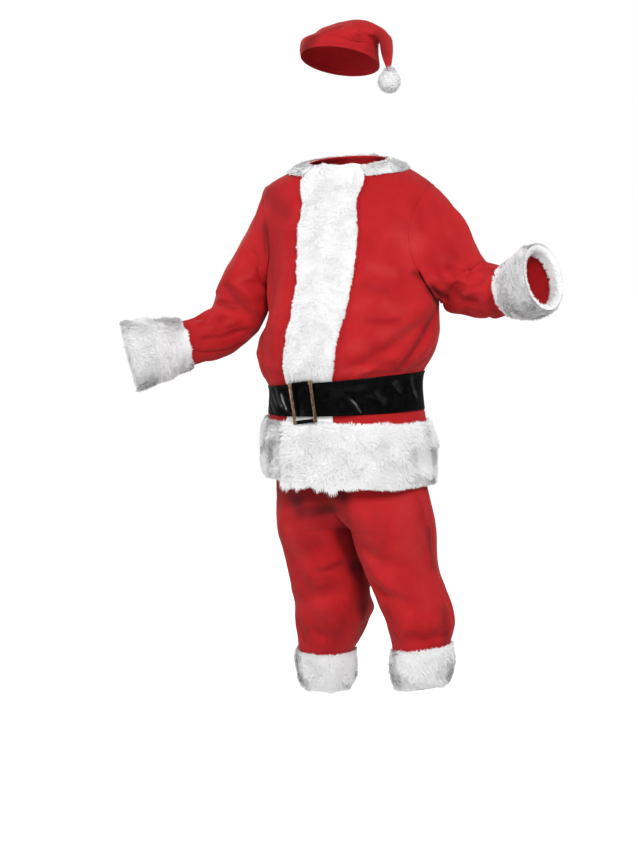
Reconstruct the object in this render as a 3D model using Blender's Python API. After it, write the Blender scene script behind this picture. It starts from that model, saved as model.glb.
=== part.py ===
"""Santa suit: jacket, trousers, belt and hat, each in the shape it has when worn."""
import math

import bmesh
import bpy
import numpy as np

MM = 0.001
CLOTH = 2.0 * MM
SEAM = 0.3 * MM
LAID_ON = 0.5 * MM

# Jacket body, from hem to neck, in metres. Round is the exponent of the ring: 2 is an ellipse.
BODY_COLUMNS = ("height", "middle", "half_width", "front", "back", "round")
BODY = (
    (-0.730, 0.002, 0.200, 0.168, 0.130, 2.0),
    (-0.670, 0.002, 0.200, 0.168, 0.128, 2.0),
    (-0.605, 0.001, 0.197, 0.166, 0.123, 2.0),
    (-0.562, -0.001, 0.186, 0.159, 0.112, 2.05),
    (-0.520, -0.003, 0.182, 0.157, 0.108, 2.1),
    (-0.484, -0.002, 0.185, 0.160, 0.111, 2.1),
    (-0.462, 0.000, 0.199, 0.170, 0.122, 2.1),
    (-0.430, 0.002, 0.211, 0.176, 0.130, 2.1),
    (-0.390, 0.004, 0.215, 0.171, 0.132, 2.15),
    (-0.320, 0.012, 0.207, 0.155, 0.132, 2.25),
    (-0.265, 0.012, 0.205, 0.139, 0.129, 2.35),
    (-0.200, 0.007, 0.207, 0.121, 0.122, 2.5),
    (-0.140, 0.000, 0.211, 0.106, 0.114, 2.6),
    (-0.080, 0.000, 0.208, 0.096, 0.105, 2.6),
    (-0.026, 0.000, 0.200, 0.090, 0.097, 2.5),
    (0.000, 0.000, 0.168, 0.086, 0.090, 2.35),
    (0.022, 0.000, 0.124, 0.080, 0.081, 2.2),
    (0.038, 0.000, 0.084, 0.074, 0.072, 2.0),
)
BODY_FOOT = -0.714
BODY_NECK = 0.036
HEM_TOP = -0.574
SKIRT_ROWS = np.linspace(BODY_FOOT, -0.612, 4)
TRUNK_ROWS = np.array([-0.574, -0.557, -0.520, -0.483, -0.460, -0.430, -0.390, -0.350, -0.310])
YOKE_ROWS = np.array([-0.006, 0.010, 0.023, BODY_NECK])
BODY_GAP = 0.0011
NECK_DIP = 0.030
HEM_STEP = 0.006

# How steeply the jacket and the belt rise towards the wearer's left at each height.
BELT_LEAN = (
    (-0.610, -0.02),
    (-0.580, -0.005),
    (-0.558, 0.05),
    (-0.540, 0.11),
    (-0.470, 0.11),
    (-0.300, 0.00),
)

# Where the left front ends and how far its band reaches, in degrees from the front.
CLOSING_COLUMNS = ("height", "edge", "band")
CLOSING = (
    (-0.730, -31.0, 12.0),
    (-0.525, -29.0, 11.0),
    (-0.400, -25.8, 11.8),
    (-0.160, -22.5, 19.0),
    (-0.030, -23.0, 20.0),
    (0.038, -38.0, 36.0),
)
OVERLAP = math.radians(32)
OVERLAP_DEPTH = 3.4 * MM

ARMHOLE = {"low": -0.272, "high": -0.024, "front": 38.0, "back": 35.0}

# Folds: each is a soft ridge or trough between two points (turn in degrees, height in metres).
FOLD_COLUMNS = ("turn_a", "height_a", "turn_b", "height_b", "width", "rise")
BODY_FOLDS = (
    (62, -0.370, 26, -0.455, 0.020, -0.011),
    (74, -0.300, 40, -0.400, 0.026, 0.007),
    (84, -0.400, 58, -0.470, 0.018, 0.008),
    (48, -0.440, 16, -0.478, 0.016, 0.006),
    (-40, -0.455, -76, -0.385, 0.022, 0.007),
    (-52, -0.405, -84, -0.300, 0.024, -0.007),
    (-44, -0.150, -60, -0.330, 0.026, -0.007),
    (-30, -0.230, -46, -0.400, 0.030, 0.005),
    (44, -0.150, 52, -0.290, 0.026, -0.006),
    (30, -0.180, 36, -0.330, 0.030, 0.005),
    (118, -0.250, 140, -0.400, 0.026, -0.007),
    (-118, -0.250, -136, -0.410, 0.026, -0.007),
    (128, -0.420, 160, -0.470, 0.020, 0.007),
    (-125, -0.430, -165, -0.465, 0.020, 0.007),
    (168, -0.200, 182, -0.420, 0.034, -0.006),
    (38, -0.600, 34, -0.730, 0.022, 0.006),
    (70, -0.600, 76, -0.730, 0.022, -0.006),
    (-58, -0.610, -64, -0.730, 0.020, -0.005),
    (-84, -0.600, -80, -0.730, 0.022, 0.006),
    (112, -0.600, 116, -0.730, 0.026, 0.007),
    (-128, -0.600, -124, -0.730, 0.026, 0.006),
    (158, -0.600, 152, -0.730, 0.026, -0.007),
    (-160, -0.600, -164, -0.730, 0.026, -0.006),
)

# Sleeves: a path from the armhole to the opening with the size of the ring at each point.
SLEEVE_COLUMNS = ("part", "x", "y", "z", "up", "across")
SLEEVE_LEFT = (
    (0.00, 0.194, 0.000, -0.148, 0.114, 0.077),
    (0.14, 0.222, 0.020, -0.190, 0.112, 0.076),
    (0.28, 0.257, 0.048, -0.242, 0.073, 0.067),
    (0.42, 0.296, 0.046, -0.269, 0.067, 0.066),
    (0.56, 0.343, 0.030, -0.275, 0.066, 0.060),
    (0.70, 0.393, 0.010, -0.271, 0.057, 0.054),
    (0.85, 0.436, -0.006, -0.260, 0.070, 0.057),
    (1.00, 0.475, -0.019, -0.243, 0.079, 0.060),
)
SLEEVE_RIGHT = (
    (0.00, -0.186, 0.000, -0.148, 0.112, 0.076),
    (0.14, -0.220, -0.002, -0.190, 0.080, 0.075),
    (0.28, -0.248, -0.010, -0.253, 0.065, 0.070),
    (0.42, -0.265, -0.030, -0.323, 0.067, 0.066),
    (0.56, -0.301, -0.064, -0.374, 0.056, 0.060),
    (0.70, -0.370, -0.104, -0.404, 0.054, 0.055),
    (0.85, -0.421, -0.146, -0.417, 0.063, 0.062),
    (1.00, -0.478, -0.184, -0.433, 0.077, 0.072),
)
CUFF_FROM = 0.70
SLEEVE_CLEAR = 7.0 * MM
LEFT_SLEEVE_FOLDS = (
    (20, 0.30, 80, 0.44, 0.018, -0.008),
    (350, 0.36, 60, 0.52, 0.014, 0.008),
    (10, 0.46, 100, 0.58, 0.014, -0.007),
    (40, 0.14, 120, 0.26, 0.022, -0.007),
    (70, 0.06, 150, 0.18, 0.022, 0.006),
    (200, 0.20, 280, 0.34, 0.024, -0.006),
    (120, 0.52, 190, 0.64, 0.016, -0.005),
    (300, 0.10, 350, 0.30, 0.022, 0.006),
)
RIGHT_SLEEVE_FOLDS = (
    (30, 0.38, 110, 0.46, 0.015, -0.009),
    (20, 0.46, 120, 0.54, 0.014, 0.008),
    (40, 0.53, 130, 0.61, 0.014, -0.007),
    (60, 0.10, 130, 0.26, 0.024, -0.006),
    (80, 0.20, 150, 0.38, 0.024, 0.006),
    (190, 0.40, 270, 0.52, 0.018, -0.006),
    (140, 0.56, 200, 0.66, 0.016, 0.005),
    (300, 0.12, 350, 0.32, 0.022, -0.006),
)

# Trousers, one half each, measured from the middle seam: inner and outer edge, then front and back.
LEG_COLUMNS = ("height", "inner", "outer", "middle", "front", "back")
LEG_LEFT = (
    (-1.191, 0.122, 0.236, -0.022, 0.058, 0.056),
    (-1.146, 0.113, 0.242, -0.020, 0.064, 0.063),
    (-1.100, 0.110, 0.243, -0.018, 0.068, 0.068),
    (-1.074, 0.102, 0.248, -0.016, 0.077, 0.079),
    (-1.040, 0.089, 0.249, -0.014, 0.086, 0.090),
    (-1.005, 0.073, 0.241, -0.012, 0.090, 0.094),
    (-0.970, 0.058, 0.225, -0.010, 0.092, 0.096),
    (-0.930, 0.038, 0.203, -0.006, 0.096, 0.102),
    (-0.880, 0.014, 0.195, -0.002, 0.104, 0.110),
    (-0.830, 0.001, 0.193, 0.000, 0.116, 0.120),
    (-0.780, 0.000, 0.190, 0.000, 0.126, 0.126),
    (-0.720, 0.000, 0.180, 0.000, 0.132, 0.116),
    (-0.640, 0.000, 0.174, 0.000, 0.132, 0.104),
    (-0.560, 0.000, 0.163, 0.000, 0.128, 0.090),
    (-0.500, 0.000, 0.156, 0.000, 0.124, 0.084),
)
LEG_RIGHT = (
    (-1.234, 0.048, 0.154, 0.066, 0.056, 0.054),
    (-1.190, 0.038, 0.164, 0.064, 0.062, 0.061),
    (-1.144, 0.034, 0.166, 0.061, 0.067, 0.067),
    (-1.118, 0.018, 0.167, 0.058, 0.077, 0.079),
    (-1.075, -0.006, 0.170, 0.052, 0.090, 0.092),
    (-1.030, -0.020, 0.172, 0.046, 0.097, 0.096),
    (-0.975, -0.026, 0.174, 0.036, 0.100, 0.098),
    (-0.920, -0.015, 0.179, 0.022, 0.102, 0.102),
    (-0.870, -0.004, 0.184, 0.008, 0.107, 0.108),
    (-0.830, 0.000, 0.187, 0.000, 0.116, 0.120),
    (-0.780, 0.000, 0.189, 0.000, 0.126, 0.126),
    (-0.720, 0.000, 0.188, 0.000, 0.132, 0.116),
    (-0.640, 0.000, 0.174, 0.000, 0.132, 0.104),
    (-0.560, 0.000, 0.163, 0.000, 0.128, 0.090),
    (-0.500, 0.000, 0.156, 0.000, 0.124, 0.084),
)
LEG_ENDS = {"left": -1.189, "right": -1.233}
LEG_CUFF = 0.091
LEG_GAP = 0.0028
FOOT_TILT = 0.16
WAIST_TOP = -0.505
WAISTBAND_IN = 5.0 * MM
CROTCH = -0.830
RISE_TOP = -0.740
MIDDLE_SEAM = ((-0.830, 0.018), (-0.500, 0.000))
LEFT_LEG_FOLDS = (
    (150, -0.860, 60, -0.905, 0.022, -0.008),
    (160, -0.905, 70, -0.960, 0.024, 0.006),
    (120, -0.960, 40, -1.010, 0.020, -0.006),
    (30, -1.000, 110, -1.060, 0.022, 0.008),
    (20, -1.075, 100, -1.105, 0.014, -0.006),
    (200, -0.990, 300, -1.030, 0.020, -0.009),
    (210, -1.040, 310, -1.070, 0.018, 0.007),
    (220, -0.930, 290, -0.960, 0.022, 0.006),
    (95, -0.760, 92, -0.840, 0.026, 0.006),
)
RIGHT_LEG_FOLDS = (
    (150, -0.850, 80, -0.900, 0.022, -0.009),
    (165, -0.890, 90, -0.950, 0.020, 0.008),
    (120, -0.980, 30, -1.030, 0.022, -0.007),
    (100, -1.020, 160, -1.060, 0.020, 0.007),
    (40, -1.070, 120, -1.100, 0.014, -0.006),
    (200, -0.990, 300, -1.030, 0.020, -0.009),
    (210, -1.040, 310, -1.070, 0.018, 0.007),
    (230, -0.920, 300, -0.950, 0.022, 0.006),
    (70, -0.740, 60, -0.900, 0.030, 0.006),
)

# Hat: rings that fan round the fold. Turn 180 is level on the left of the fold, 0 is level on its right.
FOLD_AT = (0.074, 0.0, 0.284)
HAT_COLUMNS = ("part", "turn", "drop", "inner", "outer", "half_depth")
HAT = (
    (0.00, 180.0, 0.036, 0.006, 0.184, 0.100),
    (0.10, 180.0, 0.018, 0.006, 0.186, 0.101),
    (0.20, 177.0, 0.000, 0.006, 0.181, 0.097),
    (0.30, 168.0, 0.000, 0.006, 0.152, 0.088),
    (0.40, 152.0, 0.000, 0.006, 0.106, 0.073),
    (0.50, 130.0, 0.000, 0.006, 0.072, 0.056),
    (0.60, 100.0, 0.000, 0.006, 0.046, 0.044),
    (0.70, 60.0, 0.000, 0.007, 0.033, 0.036),
    (0.80, 12.0, 0.000, 0.008, 0.030, 0.031),
    (0.90, 0.0, 0.026, 0.012, 0.031, 0.023),
    (1.00, 0.0, 0.054, 0.020, 0.030, 0.009),
)
HAT_TILT = 0.26
POMPOM = {"at": (0.102, -0.002, 0.1985), "radius": 0.0275}

BELT = {"height": -0.5195, "half": 0.0385, "thick": 2.2 * MM}
BUCKLE = {
    "turn": -10.4, "drop": 0.004, "slant": 0.16,
    "width": 0.064, "tall": 0.095, "bar": 0.0085, "thick": 3.2 * MM,
}

PILE = {
    "edge": 4.0 * MM,
    "full": 13.0 * MM,
    "front": 11.0 * MM,
    "leg": 12.0 * MM,
    "neck": 8.0 * MM,
}


def along(table, at):
    """Every column but the first of a table, read smoothly at the given first-column values."""
    rows = np.asarray(table, float)
    keys, values = rows[:, 0], rows[:, 1:]
    at = np.clip(np.asarray(at, float), keys[0], keys[-1])
    step = np.diff(keys)
    slope = np.diff(values, axis=0) / step[:, None]
    tangent = np.vstack([slope[:1], (slope[1:] + slope[:-1]) / 2, slope[-1:]])
    k = np.clip(np.searchsorted(keys, at, side="right") - 1, 0, len(keys) - 2)
    t = ((at - keys[k]) / step[k])[..., None]
    h = step[k][..., None]
    smooth = (
        (1 + 2 * t) * (1 - t) ** 2 * values[k]
        + t * (1 - t) ** 2 * h * tangent[k]
        + t * t * (3 - 2 * t) * values[k + 1]
        + t * t * (t - 1) * h * tangent[k + 1]
    )
    return np.moveaxis(smooth, -1, 0)


def ease(t):
    t = np.clip(t, 0.0, 1.0)
    return t * t * (3 - 2 * t)


def fold_height(folds, turn, place, around, up):
    """How far the folds move a point out. around and up turn the two numbers into metres."""
    total = np.zeros(np.broadcast(turn, place).shape)
    for turn_a, place_a, turn_b, place_b, width, rise in folds:
        swing = (turn_b - turn_a + 180) % 360 - 180
        dx, dy = math.radians(swing) * around, (place_b - place_a) * up
        off = (turn - math.radians(turn_a) + math.pi) % math.tau - math.pi
        px, py = off * around, (place - place_a) * up
        t = np.clip((px * dx + py * dy) / (dx * dx + dy * dy), 0, 1)
        gap = (px - t * dx) ** 2 + (py - t * dy) ** 2
        total = total + rise * np.exp(-gap / width**2)
    return total


def ring_point(turn, half_width, front, back, roundness):
    """A point of a body ring. turn is 0 at the front and grows to the wearer's left."""
    s, c = np.sin(turn), np.cos(turn)
    k = (np.abs(s) ** roundness + np.abs(c) ** roundness) ** (-1 / roundness)
    return half_width * s * k, -np.where(c > 0, front, back) * c * k


def body(turn, height):
    """The outside of the jacket's cloth."""
    turn, height = np.broadcast_arrays(np.asarray(turn, float), np.asarray(height, float))
    middle, half_width, front, back, roundness = along(BODY, height)
    x, y = ring_point(turn, half_width, front, back, roundness)
    rise = fold_height(BODY_FOLDS, turn, height, 0.17, 1.0)
    rise = rise * ease((-0.05 - height) / 0.08)
    rise = rise * (1 - np.exp(-(((height - BELT["height"]) / 0.035) ** 2)))
    grow = 1 + rise / np.hypot(x, y)
    dip = NECK_DIP * ease((height + 0.09) / 0.11) * (1 + np.cos(turn)) / 2
    lean = np.interp(height, *np.transpose(BELT_LEAN)) * x
    swing = (turn + math.pi) % math.tau - math.pi
    step = HEM_STEP * ease((-0.60 - height) / 0.12) * ease((swing + 0.6) / 0.12)
    step = step * ease((3.1 - swing) / 1.2)
    return np.stack([middle + x * grow, y * grow, height - dip + lean - step], -1)


def body_normal(turn, height):
    e = 2e-4
    du = body(turn + e, height) - body(turn - e, height)
    dv = body(turn, height + e) - body(turn, height - e)
    n = np.cross(du, dv)
    return n / np.linalg.norm(n, axis=-1)[..., None]


def under(turn, height):
    """The right front's cloth, which goes in behind the left front's edge."""
    edge = np.radians(along(CLOSING, height)[0])
    depth = OVERLAP_DEPTH * ease((turn - edge + math.radians(9)) / math.radians(8))
    return body(turn, height) - body_normal(turn, height) * depth[..., None]


def clear_of_body(points, gap):
    """Points moved straight out of the jacket's body until they are a gap away from it."""
    x, y, z = np.moveaxis(points, -1, 0)
    middle, half_width, front, back, _ = along(BODY, z)
    turn = np.arctan2((x - middle) / half_width, -y / np.where(y < 0, front, back))
    side = body(turn, z)
    out = np.hypot(x - middle, y)
    short = np.hypot(side[..., 0] - middle, side[..., 1]) + gap - out
    push = (short + np.sqrt(short**2 + (0.8 * gap) ** 2)) / 2
    grow = 1 + push / out
    return np.stack([middle + (x - middle) * grow, y * grow, z], -1)


def armhole(side, turn):
    """Turn and height on the body of the armhole's edge. turn is 0 at the armpit, 90 at the front."""
    low, high = ARMHOLE["low"], ARMHOLE["high"]
    height = low + (high - low) * (0.5 - 0.5 * np.cos(turn))
    notch = np.where(np.sin(turn) > 0, ARMHOLE["front"], ARMHOLE["back"])
    return side * (math.pi / 2 - np.radians(notch) * np.sin(turn)), height


def notch(height, which):
    low, high = ARMHOLE["low"], ARMHOLE["high"]
    t = np.clip((height - low) / (high - low), 0, 1)
    return math.radians(ARMHOLE[which]) * 2 * np.sqrt(t * (1 - t))


def carried_frames(centres):
    """Directions along, up and across for each point of a path, turned as little as possible."""
    run = np.gradient(centres, axis=0)
    run /= np.linalg.norm(run, axis=1)[:, None]
    up = np.array([0.0, 0.0, 1.0])
    ups = []
    for tangent in run:
        up = up - tangent * (up @ tangent)
        up = up / np.linalg.norm(up)
        ups.append(up)
    ups = np.array(ups)
    return run, ups, np.cross(run, ups)


def sleeve(side, table, folds):
    """The outside of a sleeve as a function of turn round the arm and part of the way down it."""
    parts = np.linspace(0, 1, 161)
    centres = np.stack(along(table, parts)[:3], -1)
    run, ups, across = carried_frames(centres)
    length = np.linalg.norm(np.diff(centres, axis=0), axis=1).sum()

    def at(values, part):
        return np.stack([np.interp(part, parts, values[:, k]) for k in range(3)], -1)

    def tube(turn, part):
        x, y, z, tall, wide = along(table, part)
        rise = fold_height(folds, turn, part, 0.066, length) * ease((part - 0.02) / 0.12)
        rise = rise * ease((0.74 - part) / 0.10)
        tall, wide = tall + rise, wide + rise
        centre = np.stack([x, y, z], -1)
        up, out = at(ups, part), at(across, part) * side
        return (
            centre
            - up * (tall * np.cos(turn))[..., None]
            + out * (wide * np.sin(turn))[..., None]
        )

    def surface(turn, part):
        turn, part = np.broadcast_arrays(np.asarray(turn, float), np.asarray(part, float))
        on_body, height = armhole(side, turn)
        start = body(on_body, height) + np.array([side * 0.6 * MM, 0, 0])
        keep = 1 - ease(part / 0.34)
        points = tube(turn, part) + keep[..., None] * (start - tube(turn, part * 0))
        return clear_of_body(points, 1e-6 + SLEEVE_CLEAR * ease(part / 0.14))

    return surface


def leg(side, table, folds):
    """The outside of one half of the trousers. turn is 0 at the outer side, 90 at the front."""

    def surface(turn, height):
        turn, height = np.broadcast_arrays(np.asarray(turn, float), np.asarray(height, float))
        inner, outer, middle, front, back = along(table, height)
        seam = np.interp(height, *np.transpose(MIDDLE_SEAM))
        closed = np.clip((RISE_TOP - height) / (RISE_TOP - CROTCH), 0, 1)
        half = (outer - inner) / (1 + closed)
        s, c = np.sin(turn), np.cos(turn)
        rise = fold_height(folds, turn, height, 0.09, 1.0)
        rise = rise * ease((-0.745 - height) / 0.06) * ease((height - table[2][0] - 0.01) / 0.02)
        rise = rise * (1 - 0.9 * ease((-c - 0.3) / 0.5) * ease((height + 1.02) / 0.1))
        x = seam + side * (inner + half * closed + (half + rise) * c)
        y = middle - (np.where(s > 0, front, back) + rise) * s
        tilt = FOOT_TILT * ease((-1.035 - height) / 0.06) * (side > 0)
        return np.stack([x, y, height + tilt * (x - 0.178)], -1)

    return surface


def last_turn(height):
    """The turn at which a half of the trousers meets the middle seam."""
    closed = np.clip((RISE_TOP - height) / (RISE_TOP - CROTCH), 0, 1)
    return np.arccos(-closed)


def hat(turn, part):
    """The outside of the hat. turn is 0 at the fold's side and 90 at the front."""
    turn, part = np.broadcast_arrays(np.asarray(turn, float), np.asarray(part, float))
    swing, drop, inner, outer, depth = along(HAT, part)
    swing = np.radians(swing)
    reach = (inner + outer) / 2 - (outer - inner) / 2 * np.cos(turn)
    x = FOLD_AT[0] + reach * np.cos(swing)
    z = FOLD_AT[2] + reach * np.sin(swing) - drop
    y = -depth * np.sin(turn)
    z = z - HAT_TILT * y * ease((0.30 - part) / 0.30)
    pucker = 0.0025 * np.sin(3 * turn + 9 * part) * np.sin(math.pi * np.clip(part, 0, 1)) ** 2
    return np.stack([x, y * (1 + pucker * 12), z + pucker], -1)


def outward(surface, u, v):
    """Unit normals that point away from the middle of the surface's own ring."""
    e = 2e-4
    du = surface(u + e, v) - surface(u - e, v)
    dv = surface(u, v + e) - surface(u, v - e)
    n = np.cross(du, dv)
    n /= np.linalg.norm(n, axis=-1)[..., None]
    points = surface(u, v)
    middle = points.mean(axis=1, keepdims=True)
    return n if np.sum(n * (points - middle)) > 0 else -n


def new_object(name, bm, material, smooth=True):
    bmesh.ops.remove_doubles(bm, verts=bm.verts, dist=1e-7)
    bmesh.ops.recalc_face_normals(bm, faces=bm.faces)
    mesh = bpy.data.meshes.new(name)
    bm.to_mesh(mesh)
    bm.free()
    for face in mesh.polygons:
        face.use_smooth = smooth
    mesh.materials.append(material)
    thing = bpy.data.objects.new(name, mesh)
    SUIT.objects.link(thing)
    return thing


def wall(name, outer, inner, material, around=False, tip=False):
    """A closed wall between two grids of points. around joins the last column to the first."""
    bm = bmesh.new()
    rows, columns = outer.shape[:2]
    skins = [[[bm.verts.new(p) for p in row] for row in grid] for grid in (outer, inner)]
    last = columns if around else columns - 1
    for skin in skins:
        for i in range(rows - 1):
            for j in range(last):
                k = (j + 1) % columns
                bm.faces.new((skin[i][j], skin[i][k], skin[i + 1][k], skin[i + 1][j]))
    a, b = skins
    for i in (0,) if tip else (0, rows - 1):
        for j in range(last):
            k = (j + 1) % columns
            bm.faces.new((a[i][j], a[i][k], b[i][k], b[i][j]))
    if tip:
        for skin in skins:
            bm.faces.new(skin[-1])
    if not around:
        for j in (0, columns - 1):
            for i in range(rows - 1):
                bm.faces.new((a[i][j], a[i + 1][j], b[i + 1][j], b[i][j]))
    return new_object(name, bm, material)


def cloth(name, surface, u, v, material, around=False):
    points, n = surface(u, v), outward(surface, u, v)
    return wall(name, points, points - n * CLOTH, material, around)


def plush(name, surface, u, v, material, around=False, pressed=None, full=PILE["full"]):
    """A band laid on a surface, thick in the middle of its width and thin at its edges."""
    points, n = surface(u, v), outward(surface, u, v)
    rows, columns = u.shape
    swell_down = np.sin(np.pi * np.linspace(0.03, 0.97, rows))[:, None] ** 0.4
    swell_over = np.sin(np.pi * np.linspace(0.03, 0.97, columns))[None, :] ** 0.4
    puff = swell_down + 0 * u if around or columns > rows else swell_over + 0 * u
    deep = PILE["edge"] + (full - PILE["edge"]) * puff
    if pressed is not None:
        flat = 1 - pressed(v)
        deep = deep * (1 - flat) + PILE["edge"] * flat
    outer, inner = points + n * deep[..., None], points + n * LAID_ON
    return wall(name, outer, inner, material, around)


def spread(lows, highs, count):
    """A row of evenly spaced turns for each pair of limits."""
    t = np.linspace(0, 1, count + 1)[None, :]
    return lows[:, None] * (1 - t) + highs[:, None] * t


def material(name, colour, roughness, metallic=0.0):
    made = bpy.data.materials.new(name)
    made.use_nodes = True
    shader = made.node_tree.nodes["Principled BSDF"]
    shader.inputs["Base Color"].default_value = (*colour, 1.0)
    shader.inputs["Roughness"].default_value = roughness
    shader.inputs["Metallic"].default_value = metallic
    made.diffuse_color = (*colour, 1.0)
    return made


def body_rows():
    low, high = ARMHOLE["low"], ARMHOLE["high"]
    chest = low + (high - low) * (0.5 - 0.5 * np.cos(np.linspace(0, math.pi, 10)))
    return np.concatenate([SKIRT_ROWS, TRUNK_ROWS, chest, YOKE_ROWS])


def on_rows(turns, rows):
    return turns, rows[:, None] + 0 * turns


def build_jacket():
    v = body_rows()
    front_cut = math.pi / 2 - notch(v, "front") - BODY_GAP
    back_cut = math.pi / 2 + notch(v, "back") + BODY_GAP
    edge, band = np.radians(along(CLOSING, v))
    left = np.hstack([spread(edge, band, 4), spread(band, front_cut, 7)[:, 1:]])
    right = np.hstack(
        [spread(-front_cut, edge - 0.008, 7), spread(edge, edge + OVERLAP, 3)[:, 1:]]
    )
    back = spread(back_cut, math.tau - back_cut, 18)
    cloth("jacket_front_left", body, *on_rows(left, v), RED)
    cloth("jacket_front_right", under, *on_rows(right, v), RED)
    cloth("jacket_back", body, *on_rows(back, v), RED)

    above = v >= HEM_TOP
    plush(
        "front_trim", body, *on_rows(left[above, :5], v[above]), WHITE,
        pressed=under_belt, full=PILE["front"],
    )
    skirt = np.append(SKIRT_ROWS, HEM_TOP - 0.0012)
    k = len(skirt)
    round_hem = np.hstack([left[:k], back[:k, 1:], right[:k, 1:8] + math.tau])
    round_hem[:, -1] -= 0.008
    plush("hem_trim", body, *on_rows(round_hem, skirt), WHITE)
    k = len(v) - 3
    round_neck = np.hstack([left[k:, 4:], back[k:, 1:], right[k:, 1:8] + math.tau])
    round_neck[:, 0] += 0.012
    round_neck[:, -1] -= 0.012
    plush("neck_trim", body, *on_rows(round_neck, v[k:]), WHITE, full=PILE["neck"])

    cuff = np.linspace(CUFF_FROM, 1, 6)
    parts = np.concatenate([np.linspace(0, CUFF_FROM, 14)[:-1], cuff])
    turns = np.linspace(0, math.tau, 19)[:-1]
    for side, name, table, folds in (
        (1, "left", SLEEVE_LEFT, LEFT_SLEEVE_FOLDS),
        (-1, "right", SLEEVE_RIGHT, RIGHT_SLEEVE_FOLDS),
    ):
        surface = sleeve(side, table, folds)
        cloth(f"sleeve_{name}", surface, *np.meshgrid(turns, parts), RED, around=True)
        plush(f"cuff_trim_{name}", surface, *np.meshgrid(turns, cuff), WHITE, around=True)


def under_belt(height):
    """How far the front band keeps its pile: the belt presses it flat."""
    return 1 - 0.9 * np.exp(-(((height - BELT["height"]) / 0.057) ** 4))


def waist(turn, height):
    """The outside of the waistband, just inside the trousers."""
    inner, outer, middle, front, back = along(LEG_LEFT, height)
    x = (outer - WAISTBAND_IN) * np.sin(turn)
    y = (WAISTBAND_IN - np.where(np.cos(turn) > 0, front, back)) * np.cos(turn)
    return np.stack([x, y, height + 0 * turn], -1)


def build_trousers():
    rise = RISE_TOP - (RISE_TOP - CROTCH) * np.sin(np.linspace(0, math.pi / 2, 8))
    hips = np.linspace(WAIST_TOP, RISE_TOP, 5)[:-1]
    for side, name, table, folds in (
        (1, "left", LEG_LEFT, LEFT_LEG_FOLDS),
        (-1, "right", LEG_RIGHT, RIGHT_LEG_FOLDS),
    ):
        surface = leg(side, table, folds)
        foot = LEG_ENDS[name]
        cuff = np.linspace(foot + LEG_CUFF, foot, 5)
        v = np.concatenate([hips, rise, np.linspace(CROTCH, cuff[0], 11)[1:-1], cuff])
        end = last_turn(v) - LEG_GAP
        front = spread(0 * v + LEG_GAP, end, 9)
        back = spread(math.tau - end, 0 * v + math.tau - LEG_GAP, 9)
        cloth(f"trouser_front_{name}", surface, *on_rows(front, v), RED)
        cloth(f"trouser_back_{name}", surface, *on_rows(back, v), RED)
        k = len(v) - 5
        turns = np.hstack([front[k:], back[k:]])
        plush(
            f"trouser_cuff_{name}", surface, *on_rows(turns, v[k:]), WHITE,
            around=True, full=PILE["leg"],
        )
    turns = np.linspace(0, math.tau, 37)[:-1]
    rows = np.linspace(WAIST_TOP, WAIST_TOP - 0.034, 3)
    cloth("trouser_waistband", waist, *np.meshgrid(turns, rows), RED, around=True)


def belt_face(turn, across):
    """The inside of the belt. across runs from its lower to its upper edge."""
    height = BELT["height"] + across + 0 * turn
    point = body(turn, height)
    edge, band = np.radians(along(CLOSING, height))
    off = (turn + math.pi) % math.tau - math.pi
    over = ease((off - edge + 0.35) / 0.33) * ease((band + 0.35 - off) / 0.33)
    out = np.stack([point[..., 0], point[..., 1]], -1)
    clear = 1.4 * MM + 6.0 * MM * over
    out = out * (1 + clear / np.linalg.norm(out, axis=-1))[..., None]
    return np.stack([out[..., 0], out[..., 1], point[..., 2]], -1)


def build_belt():
    turns = np.linspace(0, math.tau, 49)[:-1]
    u, w = np.meshgrid(turns, np.linspace(-BELT["half"], BELT["half"], 3))
    points, n = belt_face(u, w), outward(belt_face, u, w)
    wall("belt_strap", points + n * BELT["thick"], points, BLACK, around=True)

    centre = belt_face(np.radians([[BUCKLE["turn"]]]), np.full((1, 1), -BUCKLE["drop"]))[0, 0]
    n = outward(
        belt_face, np.radians([[BUCKLE["turn"], BUCKLE["turn"] + 1]]), np.zeros((1, 2))
    )[0, 0]
    n = n if n[1] < 0 else -n
    n = n / np.linalg.norm(n)
    up = np.array([0.0, 0.0, 1.0]) - n * n[2]
    up /= np.linalg.norm(up)
    side = np.cross(up, n)
    up, side = up - BUCKLE["slant"] * side, side + BUCKLE["slant"] * up
    up /= np.linalg.norm(up)
    side = side - up * (side @ up)
    side /= np.linalg.norm(side)
    rise = BELT["thick"] + 5.2 * MM
    bm = bmesh.new()
    wide, tall, bar = BUCKLE["width"] / 2, BUCKLE["tall"] / 2, BUCKLE["bar"]
    loops = []
    for out, w, h in (
        (0, wide, tall),
        (1, wide, tall),
        (1, wide - bar, tall - bar),
        (0, wide - bar, tall - bar),
    ):
        corners = []
        for sx, sy in ((-1, -1), (1, -1), (1, 1), (-1, 1)):
            p = centre + side * sx * w + up * sy * h + n * (rise + out * BUCKLE["thick"])
            corners.append(bm.verts.new(p))
        loops.append(corners)
    for a, b in zip(loops, loops[1:] + loops[:1]):
        for k in range(4):
            m = (k + 1) % 4
            bm.faces.new((a[k], a[m], b[m], b[k]))
    new_object("belt_buckle", bm, BRONZE, smooth=False)


def build_hat():
    turns = np.linspace(0, math.tau, 23)[:-1]
    u, w = np.meshgrid(turns, np.linspace(0, 1, 20))
    points, n = hat(u, w), outward(hat, u, w)
    inner = points - n * CLOTH
    wall("hat_crown", points, inner, RED, around=True, tip=True)
    bm = bmesh.new()
    bmesh.ops.create_icosphere(bm, subdivisions=3, radius=POMPOM["radius"])
    bmesh.ops.translate(bm, verts=bm.verts, vec=POMPOM["at"])
    new_object("hat_pompom", bm, WHITE)


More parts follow.
